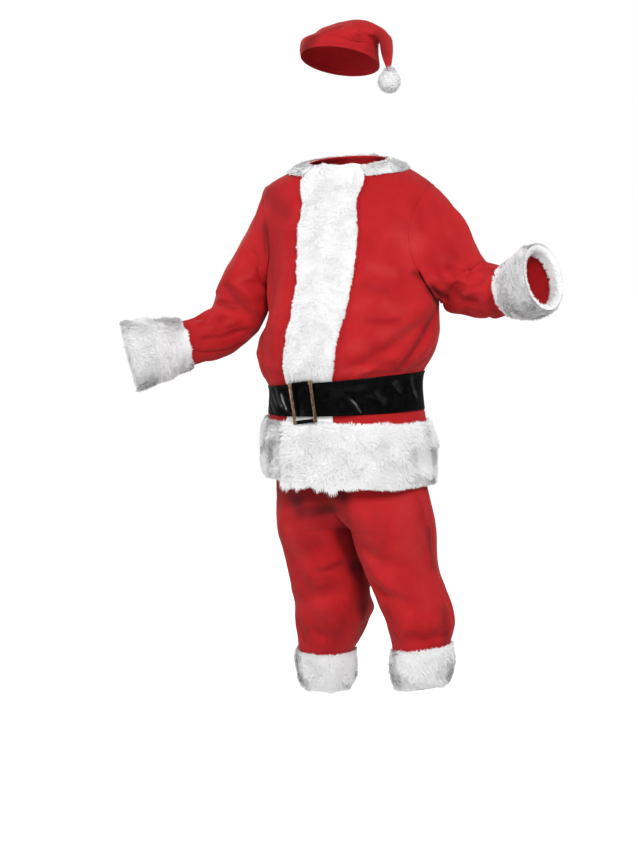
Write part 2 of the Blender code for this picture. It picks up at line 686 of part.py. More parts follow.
for old in list(bpy.data.objects):
    bpy.data.objects.remove(old)
SUIT = bpy.data.collections.new("santa_suit")
bpy.context.scene.collection.children.link(SUIT)
RED = material("red velour", (0.60, 0.012, 0.016), 0.75)
WHITE = material("white plush", (0.90, 0.89, 0.87), 0.90)
BLACK = material("black vinyl", (0.012, 0.012, 0.014), 0.18)
BRONZE = material("bronze metal", (0.30, 0.19, 0.10), 0.35, 1.0)
build_jacket()
build_trousers()
build_belt()
build_hat()
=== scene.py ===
# Santa suit: the finished cloth, plush, belt and hat over the fixed frame.
import math

import bmesh
import bpy
import numpy as np
from mathutils import Matrix, Vector


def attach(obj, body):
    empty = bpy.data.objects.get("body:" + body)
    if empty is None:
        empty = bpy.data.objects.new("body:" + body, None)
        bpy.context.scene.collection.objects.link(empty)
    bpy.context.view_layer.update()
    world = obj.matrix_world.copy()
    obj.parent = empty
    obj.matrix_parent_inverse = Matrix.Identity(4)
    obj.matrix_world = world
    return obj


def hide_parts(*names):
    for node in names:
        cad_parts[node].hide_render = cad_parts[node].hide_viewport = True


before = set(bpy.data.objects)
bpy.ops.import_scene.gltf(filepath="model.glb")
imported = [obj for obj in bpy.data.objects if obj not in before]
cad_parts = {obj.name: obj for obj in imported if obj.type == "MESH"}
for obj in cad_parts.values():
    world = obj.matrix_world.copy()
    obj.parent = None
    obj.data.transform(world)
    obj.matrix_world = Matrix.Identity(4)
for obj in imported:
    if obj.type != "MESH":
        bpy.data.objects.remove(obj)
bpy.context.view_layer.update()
print("frame loaded:", len(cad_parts), "solids")


def addToScene(name, data):
    added = bpy.data.objects.new(name, data)
    bpy.context.scene.collection.objects.link(added)
    return added


def feed(tree, node, **inputs):
    # Each input takes a value, another node's output or its first output. _ stands for a space,
    # and i0, i1 and i2 for a place among sockets of one name.
    for name, value in inputs.items():
        at = int(name[1:]) if name[1:].isdigit() else name.replace("_", " ")
        if isinstance(value, bpy.types.Node):
            value = value.outputs[0]
        if isinstance(value, bpy.types.NodeSocket):
            tree.links.new(value, node.inputs[at])
        else:
            node.inputs[at].default_value = value
    return node


def addNode(tree, kind, look=None, **inputs):
    node = tree.nodes.new("ShaderNode" + kind)
    for name, value in (look or {}).items():
        setattr(node, name, value)
    return feed(tree, node, **inputs)


stageSettings = {
    "cameraAt": (1.75942, -4.11870, -0.15000),
    "lookAt": (-0.06204, -0.02762, -0.59200),
    "lens": 81.4,
    "farthest": 60.0,
    "floorHeight": -1.50,
    "floorSize": 40.0,
    "floorColour": (0.55, 0.55, 0.55, 1),
    "floorRoughness": 0.9,
    "floorGlow": 0.84,
    "worldLight": 0.38,
    "lightsAimAt": (0.0, 0.0, -0.5),
    "lights": {  # place, width and height, power
        "key": ((2.5, -3.0, 1.9), (1.3, 1.6), 150.0),
        "fill": ((-2.7, -2.2, 0.5), (1.8, 2.4), 50.0),
        "rim left": ((-2.6, 1.8, 1.0), (1.0, 2.2), 22.0),
        "rim right": ((2.4, 2.2, 1.0), (1.0, 2.2), 22.0),
        "bounce": ((0.7, -2.7, -1.4), (2.6, 1.2), 15.0),
    },
}


def aimAt(thing, place, target):
    thing.location = place
    turn = (Vector(target) - Vector(place)).to_track_quat("-Z", "Y")
    thing.rotation_euler = turn.to_euler()


def buildFloor(settings):
    bm = bmesh.new()
    bmesh.ops.create_grid(bm, x_segments=4, y_segments=4, size=settings["floorSize"])
    bmesh.ops.translate(bm, verts=bm.verts, vec=(0, 0, settings["floorHeight"]))
    mesh = bpy.data.meshes.new("floor")
    bm.to_mesh(mesh)
    bm.free()
    paint = bpy.data.materials.new("floor paint")
    paint.use_nodes = True
    tree = paint.node_tree
    seen = addNode(tree, "LightPath").outputs["Is Camera Ray"]
    glow = addNode(tree, "Math", {"operation": "MULTIPLY"}, i0=seen, i1=settings["floorGlow"])
    feed(
        tree, tree.nodes["Principled BSDF"], Base_Color=settings["floorColour"],
        Roughness=settings["floorRoughness"], Specular_IOR_Level=0.0,
        Emission_Color=(1, 1, 1, 1), Emission_Strength=glow,
    )
    mesh.materials.append(paint)
    floor = addToScene("floor", mesh)


def buildStage(settings):
    scene = bpy.context.scene
    scene.view_settings.view_transform = "Standard"
    scene.view_settings.look = "None"
    data = bpy.data.cameras.new("camera")
    data.lens = settings["lens"]
    data.sensor_width = 36.0
    data.clip_end = settings["farthest"]
    scene.camera = addToScene("camera", data)
    aimAt(scene.camera, settings["cameraAt"], settings["lookAt"])
    buildFloor(settings)

    scene.world = bpy.data.worlds.new("studio")
    scene.world.use_nodes = True
    tree = scene.world.node_tree
    tree.nodes.clear()
    seen = addNode(tree, "LightPath").outputs["Is Camera Ray"]
    room = addNode(tree, "Background", Color=(1, 1, 1, 1), Strength=settings["worldLight"])
    back = addNode(tree, "Background", Color=(1, 1, 1, 1), Strength=1.0)
    addNode(tree, "OutputWorld", i0=addNode(tree, "MixShader", i0=seen, i1=room, i2=back))

    for name, (place, size, power) in settings["lights"].items():
        data = bpy.data.lights.new(name, "AREA")
        data.shape = "RECTANGLE"
        data.size, data.size_y = size
        data.energy = power
        aimAt(addToScene(name, data), place, settings["lightsAimAt"])


buildStage(stageSettings)
print("camera, floor and lights set")

# Where the cloth lies. All sizes are in metres, and turns in tables are in degrees.
clothThick = 0.002
laidOn = 0.0005
sides = ((1, "left"), (-1, "right"))  # which way x goes there, and the wearer's side

# The radii at which a turn is measured in metres, for the widths of folds and creases
radii = {"body": 0.17, "sleeve": 0.066, "leg": 0.09, "hat": 0.07, "belt": 0.18}

# Jacket body, from hem to neck: height, middle, halfWidth, front, back, round.
# Round is the exponent of the ring: 2 is an ellipse.
bodyRings = (
    (-0.730, 0.002, 0.200, 0.168, 0.130, 2.0),
    (-0.670, 0.002, 0.200, 0.168, 0.128, 2.0),
    (-0.605, 0.001, 0.197, 0.166, 0.123, 2.0),
    (-0.562, -0.001, 0.186, 0.159, 0.112, 2.05),
    (-0.520, -0.003, 0.182, 0.157, 0.108, 2.1),
    (-0.484, -0.002, 0.185, 0.160, 0.111, 2.1),
    (-0.462, 0.000, 0.199, 0.170, 0.122, 2.1),
    (-0.430, 0.002, 0.211, 0.176, 0.130, 2.1),
    (-0.390, 0.004, 0.215, 0.171, 0.132, 2.15),
    (-0.320, 0.012, 0.207, 0.155, 0.132, 2.25),
    (-0.265, 0.012, 0.205, 0.139, 0.129, 2.35),
    (-0.200, 0.007, 0.207, 0.121, 0.122, 2.5),
    (-0.140, 0.000, 0.211, 0.106, 0.114, 2.6),
    (-0.080, 0.000, 0.208, 0.096, 0.105, 2.6),
    (-0.026, 0.000, 0.200, 0.090, 0.097, 2.5),
    (0.000, 0.000, 0.168, 0.086, 0.090, 2.35),
    (0.022, 0.000, 0.124, 0.080, 0.081, 2.2),
    (0.038, 0.000, 0.084, 0.074, 0.072, 2.0),
)
bodyFoot = -0.714
bodyNeck = 0.036
hemTop = -0.574
neckDip = 0.030
hemStep = 0.006

# How steeply the jacket and the belt rise towards the wearer's left: height, lean.
beltLean = (
    (-0.610, -0.02),
    (-0.580, -0.005),
    (-0.558, 0.05),
    (-0.540, 0.11),
    (-0.470, 0.11),
    (-0.300, 0.00),
)

# Where the left front ends and how far its band reaches from the front: height, edge, band.
closing = (
    (-0.730, -31.0, 12.0),
    (-0.525, -29.0, 11.0),
    (-0.400, -25.8, 11.8),
    (-0.160, -22.5, 19.0),
    (-0.030, -23.0, 20.0),
    (0.038, -38.0, 36.0),
)
overlap = math.radians(32)
overlapDepth = 0.0034

armholeSize = {"low": -0.272, "high": -0.024, "front": 38.0, "back": 35.0}

# Folds, each a soft ridge or trough between two points: turnA, placeA, turnB, placeB, width, rise.
# A place is a height, or a part of the way down a sleeve. Width and rise are in millimetres.
bodyFolds = (
    (62, -0.37, 26, -0.455, 20, -11), (74, -0.3, 40, -0.4, 26, 7),
    (84, -0.4, 58, -0.47, 18, 8), (48, -0.44, 16, -0.478, 16, 6),
    (-40, -0.455, -76, -0.385, 22, 7), (-52, -0.405, -84, -0.3, 24, -7),
    (-44, -0.15, -60, -0.33, 26, -7), (-30, -0.23, -46, -0.4, 30, 5),
    (44, -0.15, 52, -0.29, 26, -6), (30, -0.18, 36, -0.33, 30, 5),
    (118, -0.25, 140, -0.4, 26, -7), (-118, -0.25, -136, -0.41, 26, -7),
    (128, -0.42, 160, -0.47, 20, 7), (-125, -0.43, -165, -0.465, 20, 7),
    (168, -0.2, 182, -0.42, 34, -6), (38, -0.6, 34, -0.73, 22, 6),
    (70, -0.6, 76, -0.73, 22, -6), (-58, -0.61, -64, -0.73, 20, -5),
    (-84, -0.6, -80, -0.73, 22, 6), (112, -0.6, 116, -0.73, 26, 7),
    (-128, -0.6, -124, -0.73, 26, 6), (158, -0.6, 152, -0.73, 26, -7),
    (-160, -0.6, -164, -0.73, 26, -6),
)

# Sleeves: a path from the armhole to the opening, with the ring's size: part, x, y, z, up, across.
sleevePaths = {
    "left": (
        (0.00, 0.194, 0.000, -0.148, 0.114, 0.077),
        (0.14, 0.222, 0.020, -0.190, 0.112, 0.076),
        (0.28, 0.257, 0.048, -0.242, 0.073, 0.067),
        (0.42, 0.296, 0.046, -0.269, 0.067, 0.066),
        (0.56, 0.343, 0.030, -0.275, 0.066, 0.060),
        (0.70, 0.393, 0.010, -0.271, 0.057, 0.054),
        (0.85, 0.436, -0.006, -0.260, 0.070, 0.057),
        (1.00, 0.475, -0.019, -0.243, 0.079, 0.060),
    ),
    "right": (
        (0.00, -0.186, 0.000, -0.148, 0.112, 0.076),
        (0.14, -0.220, -0.002, -0.190, 0.080, 0.075),
        (0.28, -0.248, -0.010, -0.253, 0.065, 0.070),
        (0.42, -0.265, -0.030, -0.323, 0.067, 0.066),
        (0.56, -0.301, -0.064, -0.374, 0.056, 0.060),
        (0.70, -0.370, -0.104, -0.404, 0.054, 0.055),
        (0.85, -0.421, -0.146, -0.417, 0.063, 0.062),
        (1.00, -0.478, -0.184, -0.433, 0.077, 0.072),
    ),
}
cuffFrom = 0.70
sleeveClear = 0.007
sleeveFolds = {
    "left": (
        (20, 0.3, 80, 0.44, 18, -8), (350, 0.36, 60, 0.52, 14, 8),
        (10, 0.46, 100, 0.58, 14, -7), (40, 0.14, 120, 0.26, 22, -7),
        (70, 0.06, 150, 0.18, 22, 6), (200, 0.2, 280, 0.34, 24, -6),
        (120, 0.52, 190, 0.64, 16, -5), (300, 0.1, 350, 0.3, 22, 6),
    ),
    "right": (
        (30, 0.38, 110, 0.46, 15, -9), (20, 0.46, 120, 0.54, 14, 8),
        (40, 0.53, 130, 0.61, 14, -7), (60, 0.1, 130, 0.26, 24, -6),
        (80, 0.2, 150, 0.38, 24, 6), (190, 0.4, 270, 0.52, 18, -6),
        (140, 0.56, 200, 0.66, 16, 5), (300, 0.12, 350, 0.32, 22, -6),
    ),
}

# Trousers, one half each, measured from the middle seam: height, inner, outer, middle, front, back.
hipRings = (
    (-0.640, 0.000, 0.174, 0.000, 0.132, 0.104),
    (-0.560, 0.000, 0.163, 0.000, 0.128, 0.090),
    (-0.500, 0.000, 0.156, 0.000, 0.124, 0.084),
)
legRings = {
    "left": (
        (-1.191, 0.122, 0.236, -0.022, 0.058, 0.056),
        (-1.146, 0.113, 0.242, -0.020, 0.064, 0.063),
        (-1.100, 0.110, 0.243, -0.018, 0.068, 0.068),
        (-1.074, 0.102, 0.248, -0.016, 0.077, 0.079),
        (-1.040, 0.089, 0.249, -0.014, 0.086, 0.090),
        (-1.005, 0.073, 0.241, -0.012, 0.090, 0.094),
        (-0.970, 0.058, 0.225, -0.010, 0.092, 0.096),
        (-0.930, 0.038, 0.203, -0.006, 0.096, 0.102),
        (-0.880, 0.014, 0.195, -0.002, 0.104, 0.110),
        (-0.830, 0.001, 0.193, 0.000, 0.116, 0.120),
        (-0.780, 0.000, 0.190, 0.000, 0.126, 0.126),
        (-0.720, 0.000, 0.180, 0.000, 0.132, 0.116),
    ) + hipRings,
    "right": (
        (-1.234, 0.048, 0.154, 0.066, 0.056, 0.054),
        (-1.190, 0.038, 0.164, 0.064, 0.062, 0.061),
        (-1.144, 0.034, 0.166, 0.061, 0.067, 0.067),
        (-1.118, 0.018, 0.167, 0.058, 0.077, 0.079),
        (-1.075, -0.006, 0.170, 0.052, 0.090, 0.092),
        (-1.030, -0.020, 0.172, 0.046, 0.097, 0.096),
        (-0.975, -0.026, 0.174, 0.036, 0.100, 0.098),
        (-0.920, -0.015, 0.179, 0.022, 0.102, 0.102),
        (-0.870, -0.004, 0.184, 0.008, 0.107, 0.108),
        (-0.830, 0.000, 0.187, 0.000, 0.116, 0.120),
        (-0.780, 0.000, 0.189, 0.000, 0.126, 0.126),
        (-0.720, 0.000, 0.188, 0.000, 0.132, 0.116),
    ) + hipRings,
}
legEnds = {"left": -1.189, "right": -1.233}
legCuff = 0.091
legGap = 0.0028
footTilt = 0.16
waistTop = -0.505
waistbandIn = 0.005
crotch = -0.830
riseTop = -0.740
middleSeam = ((-0.830, 0.018), (-0.500, 0.000))
legFolds = {
    "left": (
        (150, -0.86, 60, -0.905, 22, -8), (160, -0.905, 70, -0.96, 24, 6),
        (120, -0.96, 40, -1.01, 20, -6), (30, -1, 110, -1.06, 22, 8),
        (20, -1.075, 100, -1.105, 14, -6), (200, -0.99, 300, -1.03, 20, -9),
        (210, -1.04, 310, -1.07, 18, 7), (220, -0.93, 290, -0.96, 22, 6),
        (95, -0.76, 92, -0.84, 26, 6),
    ),
    "right": (
        (150, -0.85, 80, -0.9, 22, -9), (165, -0.89, 90, -0.95, 20, 8),
        (120, -0.98, 30, -1.03, 22, -7), (100, -1.02, 160, -1.06, 20, 7),
        (40, -1.07, 120, -1.1, 14, -6), (200, -0.99, 300, -1.03, 20, -9),
        (210, -1.04, 310, -1.07, 18, 7), (230, -0.92, 300, -0.95, 22, 6),
        (70, -0.74, 60, -0.9, 30, 6),
    ),
}

# Hat: rings that fan round the fold: part, turn, drop, inner, outer, halfDepth.
# Turn 180 is level on the left of the fold, and 0 is level on its right.
foldAt = (0.074, 0.0, 0.284)
hatRings = (
    (0.00, 180.0, 0.036, 0.006, 0.184, 0.100),
    (0.10, 180.0, 0.018, 0.006, 0.186, 0.101),
    (0.20, 177.0, 0.000, 0.006, 0.181, 0.097),
    (0.30, 168.0, 0.000, 0.006, 0.152, 0.088),
    (0.40, 152.0, 0.000, 0.006, 0.106, 0.073),
    (0.50, 130.0, 0.000, 0.006, 0.072, 0.056),
    (0.60, 100.0, 0.000, 0.006, 0.046, 0.044),
    (0.70, 60.0, 0.000, 0.007, 0.033, 0.036),
    (0.80, 12.0, 0.000, 0.008, 0.030, 0.031),
    (0.90, 0.0, 0.026, 0.012, 0.031, 0.023),
    (1.00, 0.0, 0.054, 0.020, 0.030, 0.009),
)
hatTilt = 0.26
pompomSize = {"at": (0.102, -0.002, 0.1985), "radius": 0.0275}

beltSize = {
    "height": -0.5195, "half": 0.0385, "thick": 0.0022,
    "clear": 0.0014, "overBand": 0.006,  # how far it stands off the cloth, and off the front band
}
buckleSize = {
    "turn": -10.4, "drop": 0.004, "slant": 0.16,
    "width": 0.064, "tall": 0.095, "bar": 0.0085, "thick": 0.0032,
}

pileDepth = {
    "edge": 0.004,
    "full": 0.013,
    "front": 0.011,
    "leg": 0.012,
    "neck": 0.008,
}


def along(table, at):
    # Every column but the first of a table, read smoothly at the given first-column values.
    rows = np.asarray(table, float)
    keys, values = rows[:, 0], rows[:, 1:]
    at = np.clip(np.asarray(at, float), keys[0], keys[-1])
    step = np.diff(keys)
    slope = np.diff(values, axis=0) / step[:, None]
    tangent = np.vstack([slope[:1], (slope[1:] + slope[:-1]) / 2, slope[-1:]])
    k = np.clip(np.searchsorted(keys, at, side="right") - 1, 0, len(keys) - 2)
    t = ((at - keys[k]) / step[k])[..., None]
    h = step[k][..., None]
    smooth = (
        (1 + 2 * t) * (1 - t) ** 2 * values[k]
        + t * (1 - t) ** 2 * h * tangent[k]
        + t * t * (3 - 2 * t) * values[k + 1]
        + t * t * (t - 1) * h * tangent[k + 1]
    )
    return np.moveaxis(smooth, -1, 0)


def ease(t):
    t = np.clip(t, 0.0, 1.0)
    return t * t * (3 - 2 * t)


def near(away, reach):
    # 1 on an edge, easing to 0 at reach away
    return 1 - ease(np.abs(away) / reach)


def fromFront(turn):
    # a turn from half a turn to one side up to half a turn to the other
    return (turn + math.pi) % math.tau - math.pi


def strokes(rows, turn, place, around, up):
    # For each line on the cloth: how far along it a point is, how far aside, its length and sizes.
    for turnA, placeA, turnB, placeB, *sizes in rows:
        swing = (turnB - turnA + 180) % 360 - 180
        dx, dy = math.radians(swing) * around, (placeB - placeA) * up
        off = fromFront(turn - math.radians(turnA))
        px, py = off * around, (place - placeA) * up
        length = math.hypot(dx, dy)
        t, side = (px * dx + py * dy) / length**2, (px * dy - py * dx) / length
        yield t, side, length, [size / 1000 for size in sizes]


def foldHeight(folds, turn, place, around, up=1.0):
    # How far soft folds move a point out. around and up turn the two numbers into metres.
    total = np.zeros(np.broadcast(turn, place).shape)
    for t, side, length, (width, rise) in strokes(folds, turn, place, around, up):
        past = (t - np.clip(t, 0, 1)) * length
        total = total + rise * np.exp(-(side**2 + past**2) / width**2)
    return total


def ringPoint(turn, halfWidth, front, back, roundness):
    # A point of a body ring. turn is 0 at the front and grows to the wearer's left.
    s, c = np.sin(turn), np.cos(turn)
    k = (np.abs(s) ** roundness + np.abs(c) ** roundness) ** (-1 / roundness)
    return halfWidth * s * k, -np.where(c > 0, front, back) * c * k


def body(turn, height):
    # The outside of the jacket's cloth.
    turn, height = np.broadcast_arrays(np.asarray(turn, float), np.asarray(height, float))
    middle, halfWidth, front, back, roundness = along(bodyRings, height)
    x, y = ringPoint(turn, halfWidth, front, back, roundness)
    rise = foldHeight(bodyFolds, turn, height, radii["body"])
    rise = rise * ease((-0.05 - height) / 0.08)  # no folds at the shoulders
    rise = rise * (1 - np.exp(-(((height - beltSize["height"]) / 0.035) ** 2)))  # nor at the belt
    grow = 1 + rise / np.hypot(x, y)
    # the neck is lower in front
    dip = neckDip * ease((height + 0.09) / 0.11) * (1 + np.cos(turn)) / 2
    lean = np.interp(height, *np.transpose(beltLean)) * x
    swing = fromFront(turn)
    # the left front's hem hangs lower than the right's, and evens out behind
    step = hemStep * ease((-0.60 - height) / 0.12) * ease((swing + 0.6) / 0.12)
    step = step * ease((3.1 - swing) / 1.2)
    return np.stack([middle + x * grow, y * grow, height - dip + lean - step], -1)


def bodyNormal(turn, height):
    e = 2e-4
    du = body(turn + e, height) - body(turn - e, height)
    dv = body(turn, height + e) - body(turn, height - e)
    n = np.cross(du, dv)
    return n / np.linalg.norm(n, axis=-1)[..., None]


def under(turn, height):
    # The right front's cloth, which goes in behind the left front's edge.
    edge = np.radians(along(closing, height)[0])
    depth = overlapDepth * ease((turn - edge + math.radians(9)) / math.radians(8))
    return body(turn, height) - bodyNormal(turn, height) * depth[..., None]


def clearOfBody(points, gap):
    # Points moved straight out of the jacket's body until they are a gap away from it.
    x, y, z = np.moveaxis(points, -1, 0)
    middle, halfWidth, front, back, _ = along(bodyRings, z)
    turn = np.arctan2((x - middle) / halfWidth, -y / np.where(y < 0, front, back))
    side = body(turn, z)
    out = np.hypot(x - middle, y)
    short = np.hypot(side[..., 0] - middle, side[..., 1]) + gap - out
    push = (short + np.sqrt(short**2 + (0.8 * gap) ** 2)) / 2  # a smooth max(short, 0)
    grow = 1 + push / out
    return np.stack([middle + (x - middle) * grow, y * grow, z], -1)


def armhole(side, turn):
    # Turn and height on the body of the armhole's edge. turn is 0 at the armpit, 90 at the front.
    low, high = armholeSize["low"], armholeSize["high"]
    height = low + (high - low) * (0.5 - 0.5 * np.cos(turn))
    reach = np.where(np.sin(turn) > 0, armholeSize["front"], armholeSize["back"])
    return side * (math.pi / 2 - np.radians(reach) * np.sin(turn)), height


def notch(height, which):
    # how far the armhole reaches round the body from the side, at a height
    low, high = armholeSize["low"], armholeSize["high"]
    t = np.clip((height - low) / (high - low), 0, 1)
    return math.radians(armholeSize[which]) * 2 * np.sqrt(t * (1 - t))


def carriedFrames(centres):
    # Directions along, up and across for each point of a path, turned as little as possible.
    run = np.gradient(centres, axis=0)
    run /= np.linalg.norm(run, axis=1)[:, None]
    up = np.array([0.0, 0.0, 1.0])
    ups = []
    for tangent in run:
        up = up - tangent * (up @ tangent)
        up = up / np.linalg.norm(up)
        ups.append(up)
    ups = np.array(ups)
    return run, ups, np.cross(run, ups)


def sleeve(side, name):
    # The outside of a sleeve as a function of turn round the arm and part of the way down it.
    path, folds = sleevePaths[name], sleeveFolds[name]
    parts = np.linspace(0, 1, 161)
    centres = np.stack(along(path, parts)[:3], -1)
    run, ups, across = carriedFrames(centres)
    length = np.linalg.norm(np.diff(centres, axis=0), axis=1).sum()

    def at(values, part):
        return np.stack([np.interp(part, parts, values[:, k]) for k in range(3)], -1)

    def tube(turn, part):
        x, y, z, tall, wide = along(path, part)
        rise = foldHeight(folds, turn, part, radii["sleeve"], length)
        rise = rise * ease((part - 0.02) / 0.12)  # no folds at the armhole
        rise = rise * ease((0.74 - part) / 0.10)  # nor under the plush cuff
        tall, wide = tall + rise, wide + rise
        centre = np.stack([x, y, z], -1)
        up, out = at(ups, part), at(across, part) * side
        return (
            centre
            - up * (tall * np.cos(turn))[..., None]
            + out * (wide * np.sin(turn))[..., None]
        )

    def surface(turn, part):
        turn, part = np.broadcast_arrays(np.asarray(turn, float), np.asarray(part, float))
        onBody, height = armhole(side, turn)
        start = body(onBody, height) + np.array([side * 0.0006, 0, 0])
        keep = 1 - ease(part / 0.34)  # the armhole's shape fades out down the sleeve
        points = tube(turn, part) + keep[..., None] * (start - tube(turn, part * 0))
        return clearOfBody(points, 1e-6 + sleeveClear * ease(part / 0.14))

    return surface


def closedShare(height):
    # How far the two halves of the trousers have parted, from 0 above the rise to 1 at the crotch.
    return np.clip((riseTop - height) / (riseTop - crotch), 0, 1)


def leg(side, name):
    # The outside of one half of the trousers. turn is 0 at the outer side, 90 at the front.
    rings, folds = legRings[name], legFolds[name]

    def surface(turn, height):
        turn, height = np.broadcast_arrays(np.asarray(turn, float), np.asarray(height, float))
        inner, outer, middle, front, back = along(rings, height)
        seam = np.interp(height, *np.transpose(middleSeam))
        closed = closedShare(height)
        half = (outer - inner) / (1 + closed)
        s, c = np.sin(turn), np.cos(turn)
        # folds lie between the jacket and the plush cuff, and spare the inner side
        rise = foldHeight(folds, turn, height, radii["leg"])
        rise = rise * ease((-0.745 - height) / 0.06) * ease((height - rings[2][0] - 0.01) / 0.02)
        rise = rise * (1 - 0.9 * ease((-c - 0.3) / 0.5) * ease((height + 1.02) / 0.1))
        x = seam + side * (inner + half * closed + (half + rise) * c)
        y = middle - (np.where(s > 0, front, back) + rise) * s
        tilt = footTilt * ease((-1.035 - height) / 0.06) * (side > 0)  # a slanting opening
        return np.stack([x, y, height + tilt * (x - 0.178)], -1)

    return surface


def lastTurn(height):
    # The turn at which a half of the trousers meets the middle seam.
    return np.arccos(-closedShare(height))


def hat(turn, part):
    # The outside of the hat. turn is 0 at the fold's side and 90 at the front.
    turn, part = np.broadcast_arrays(np.asarray(turn, float), np.asarray(part, float))
    swing, drop, inner, outer, depth = along(hatRings, part)
    swing = np.radians(swing)
    reach = (inner + outer) / 2 - (outer - inner) / 2 * np.cos(turn)
    x = foldAt[0] + reach * np.cos(swing)
    z = foldAt[2] + reach * np.sin(swing) - drop
    y = -depth * np.sin(turn)
    z = z - hatTilt * y * ease((0.30 - part) / 0.30)  # the opening is higher in front
    # soft puckers between the rim and the tip
    pucker = 0.0025 * np.sin(3 * turn + 9 * part) * np.sin(math.pi * np.clip(part, 0, 1)) ** 2
    return np.stack([x, y * (1 + pucker * 12), z + pucker], -1)


def waist(turn, height):
    # The outside of the waistband, just inside the trousers.
    inner, outer, middle, front, back = along(legRings["left"], height)
    x = (outer - waistbandIn) * np.sin(turn)
    y = (waistbandIn - np.where(np.cos(turn) > 0, front, back)) * np.cos(turn)
    return np.stack([x, y, height + 0 * turn], -1)


def beltFace(turn, across):
    # The inside of the belt. across runs from its lower to its upper edge.
    height = beltSize["height"] + across + 0 * turn
    point = body(turn, height)
    edge, band = np.radians(along(closing, height))
    off = fromFront(turn)
    # 1 over the front band
    over = ease((off - edge + 0.35) / 0.33) * ease((band + 0.35 - off) / 0.33)
    out = np.stack([point[..., 0], point[..., 1]], -1)
    clear = beltSize["clear"] + beltSize["overBand"] * over
    out = out * (1 + clear / np.linalg.norm(out, axis=-1))[..., None]
    return np.stack([out[..., 0], out[..., 1], point[..., 2]], -1)


def softNoise(points, size, seed, layers=9):
    # a smooth pattern between about -1 and 1, with humps about size across
    rng = np.random.default_rng(seed)
    total = np.zeros(points.shape[:-1])
    for _ in range(layers):
        way, bend = rng.normal(size=(2, 3))
        way, bend = way / np.linalg.norm(way), bend / np.linalg.norm(bend)
        reach = math.tau / (size * rng.uniform(1.5, 3.2))
        warp = 0.35 * size * np.sin(points @ bend * reach * 0.6 + rng.uniform(0, 6))
        total += np.sin((points @ way + warp) * reach + rng.uniform(0, 6))
    return total / math.sqrt(layers * 0.5) * 0.6


creaseSettings = {
    "fade": 0.3,  # the share of its length in which a crease fades
    "endHeight": 0.15,
    "fineEnds": 0.4,
    "troughDepth": 0.55,
    "troughAside": 1.7,
    "troughWidth": 1.35,
}


def creaseHeight(creases, turn, place, around, up=1.0):
    # Each crease is a ridge with a trough on one side, finer towards both ends.
    fade, start, fine, depth, aside, wide = creaseSettings.values()
    total = np.zeros(np.broadcast(turn, place).shape)
    for t, side, _, (width, rise, bow) in strokes(creases, turn, place, around, up):
        side = side - bow * 4 * t * (1 - t)
        taper = ease(t / fade + start) * ease((1 - t) / fade + start)
        narrow = width * (1 - fine + fine * taper)
        ridge = np.exp(-((side / narrow) ** 2))
        beside = (side + aside * narrow) / (wide * narrow)
        total = total + rise * taper * (ridge - depth * np.exp(-(beside**2)))
    return total


def gridNormals(points, around=False):
    if around:
        du = np.roll(points, -1, 1) - np.roll(points, 1, 1)
    else:
        du = np.gradient(points, axis=1)
    n = np.cross(du, np.gradient(points, axis=0))
    n /= np.linalg.norm(n, axis=-1)[..., None] + 1e-12
    middle = points.mean(axis=1, keepdims=True)
    return n if np.sum(n * (points - middle)) > 0 else -n


def layGrid(points, normals, around=False, tones=None):
    # a grid gives the cells and their UV map, then each corner moves to its place
    rows, columns = points.shape[:2]
    cells = columns if around else columns - 1
    bm = bmesh.new()
    bm.loops.layers.uv.new("cut")
    bmesh.ops.create_grid(bm, x_segments=cells, y_segments=rows - 1, size=0.5, calc_uvs=True)
    layers = [(bm.verts.layers.float.new(key), grid) for key, grid in (tones or {}).items()]
    side = 0.0
    places = []
    for vert in bm.verts:
        j = round((vert.co.x + 0.5) * cells) % columns
        i = round((vert.co.y + 0.5) * (rows - 1))
        places.append((i, j))
        vert.co = points[i, j]
        for layer, grid in layers:
            vert[layer] = grid[i, j]
    bm.normal_update()
    for vert, (i, j) in zip(bm.verts, places):
        side += vert.normal.dot(Vector(normals[i, j]))
    if around:
        bmesh.ops.remove_doubles(bm, verts=bm.verts, dist=1e-7)
    if side < 0:
        bmesh.ops.reverse_faces(bm, faces=bm.faces)
    return bm


def keep(name, bm, material, node, slotName, thick=0.0):
    mesh = bpy.data.meshes.new(name)
    bm.to_mesh(mesh)
    bm.free()
    mesh.materials.append(material)
    mesh.polygons.foreach_set("use_smooth", np.ones(len(mesh.polygons), bool))
    piece = addToScene(name, mesh)
    if thick:
        shell = piece.modifiers.new("thickness", "SOLIDIFY")
        shell.thickness = thick
        shell.offset = -1.0
    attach(piece, "root")
    if node:
        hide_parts(node)
    return piece


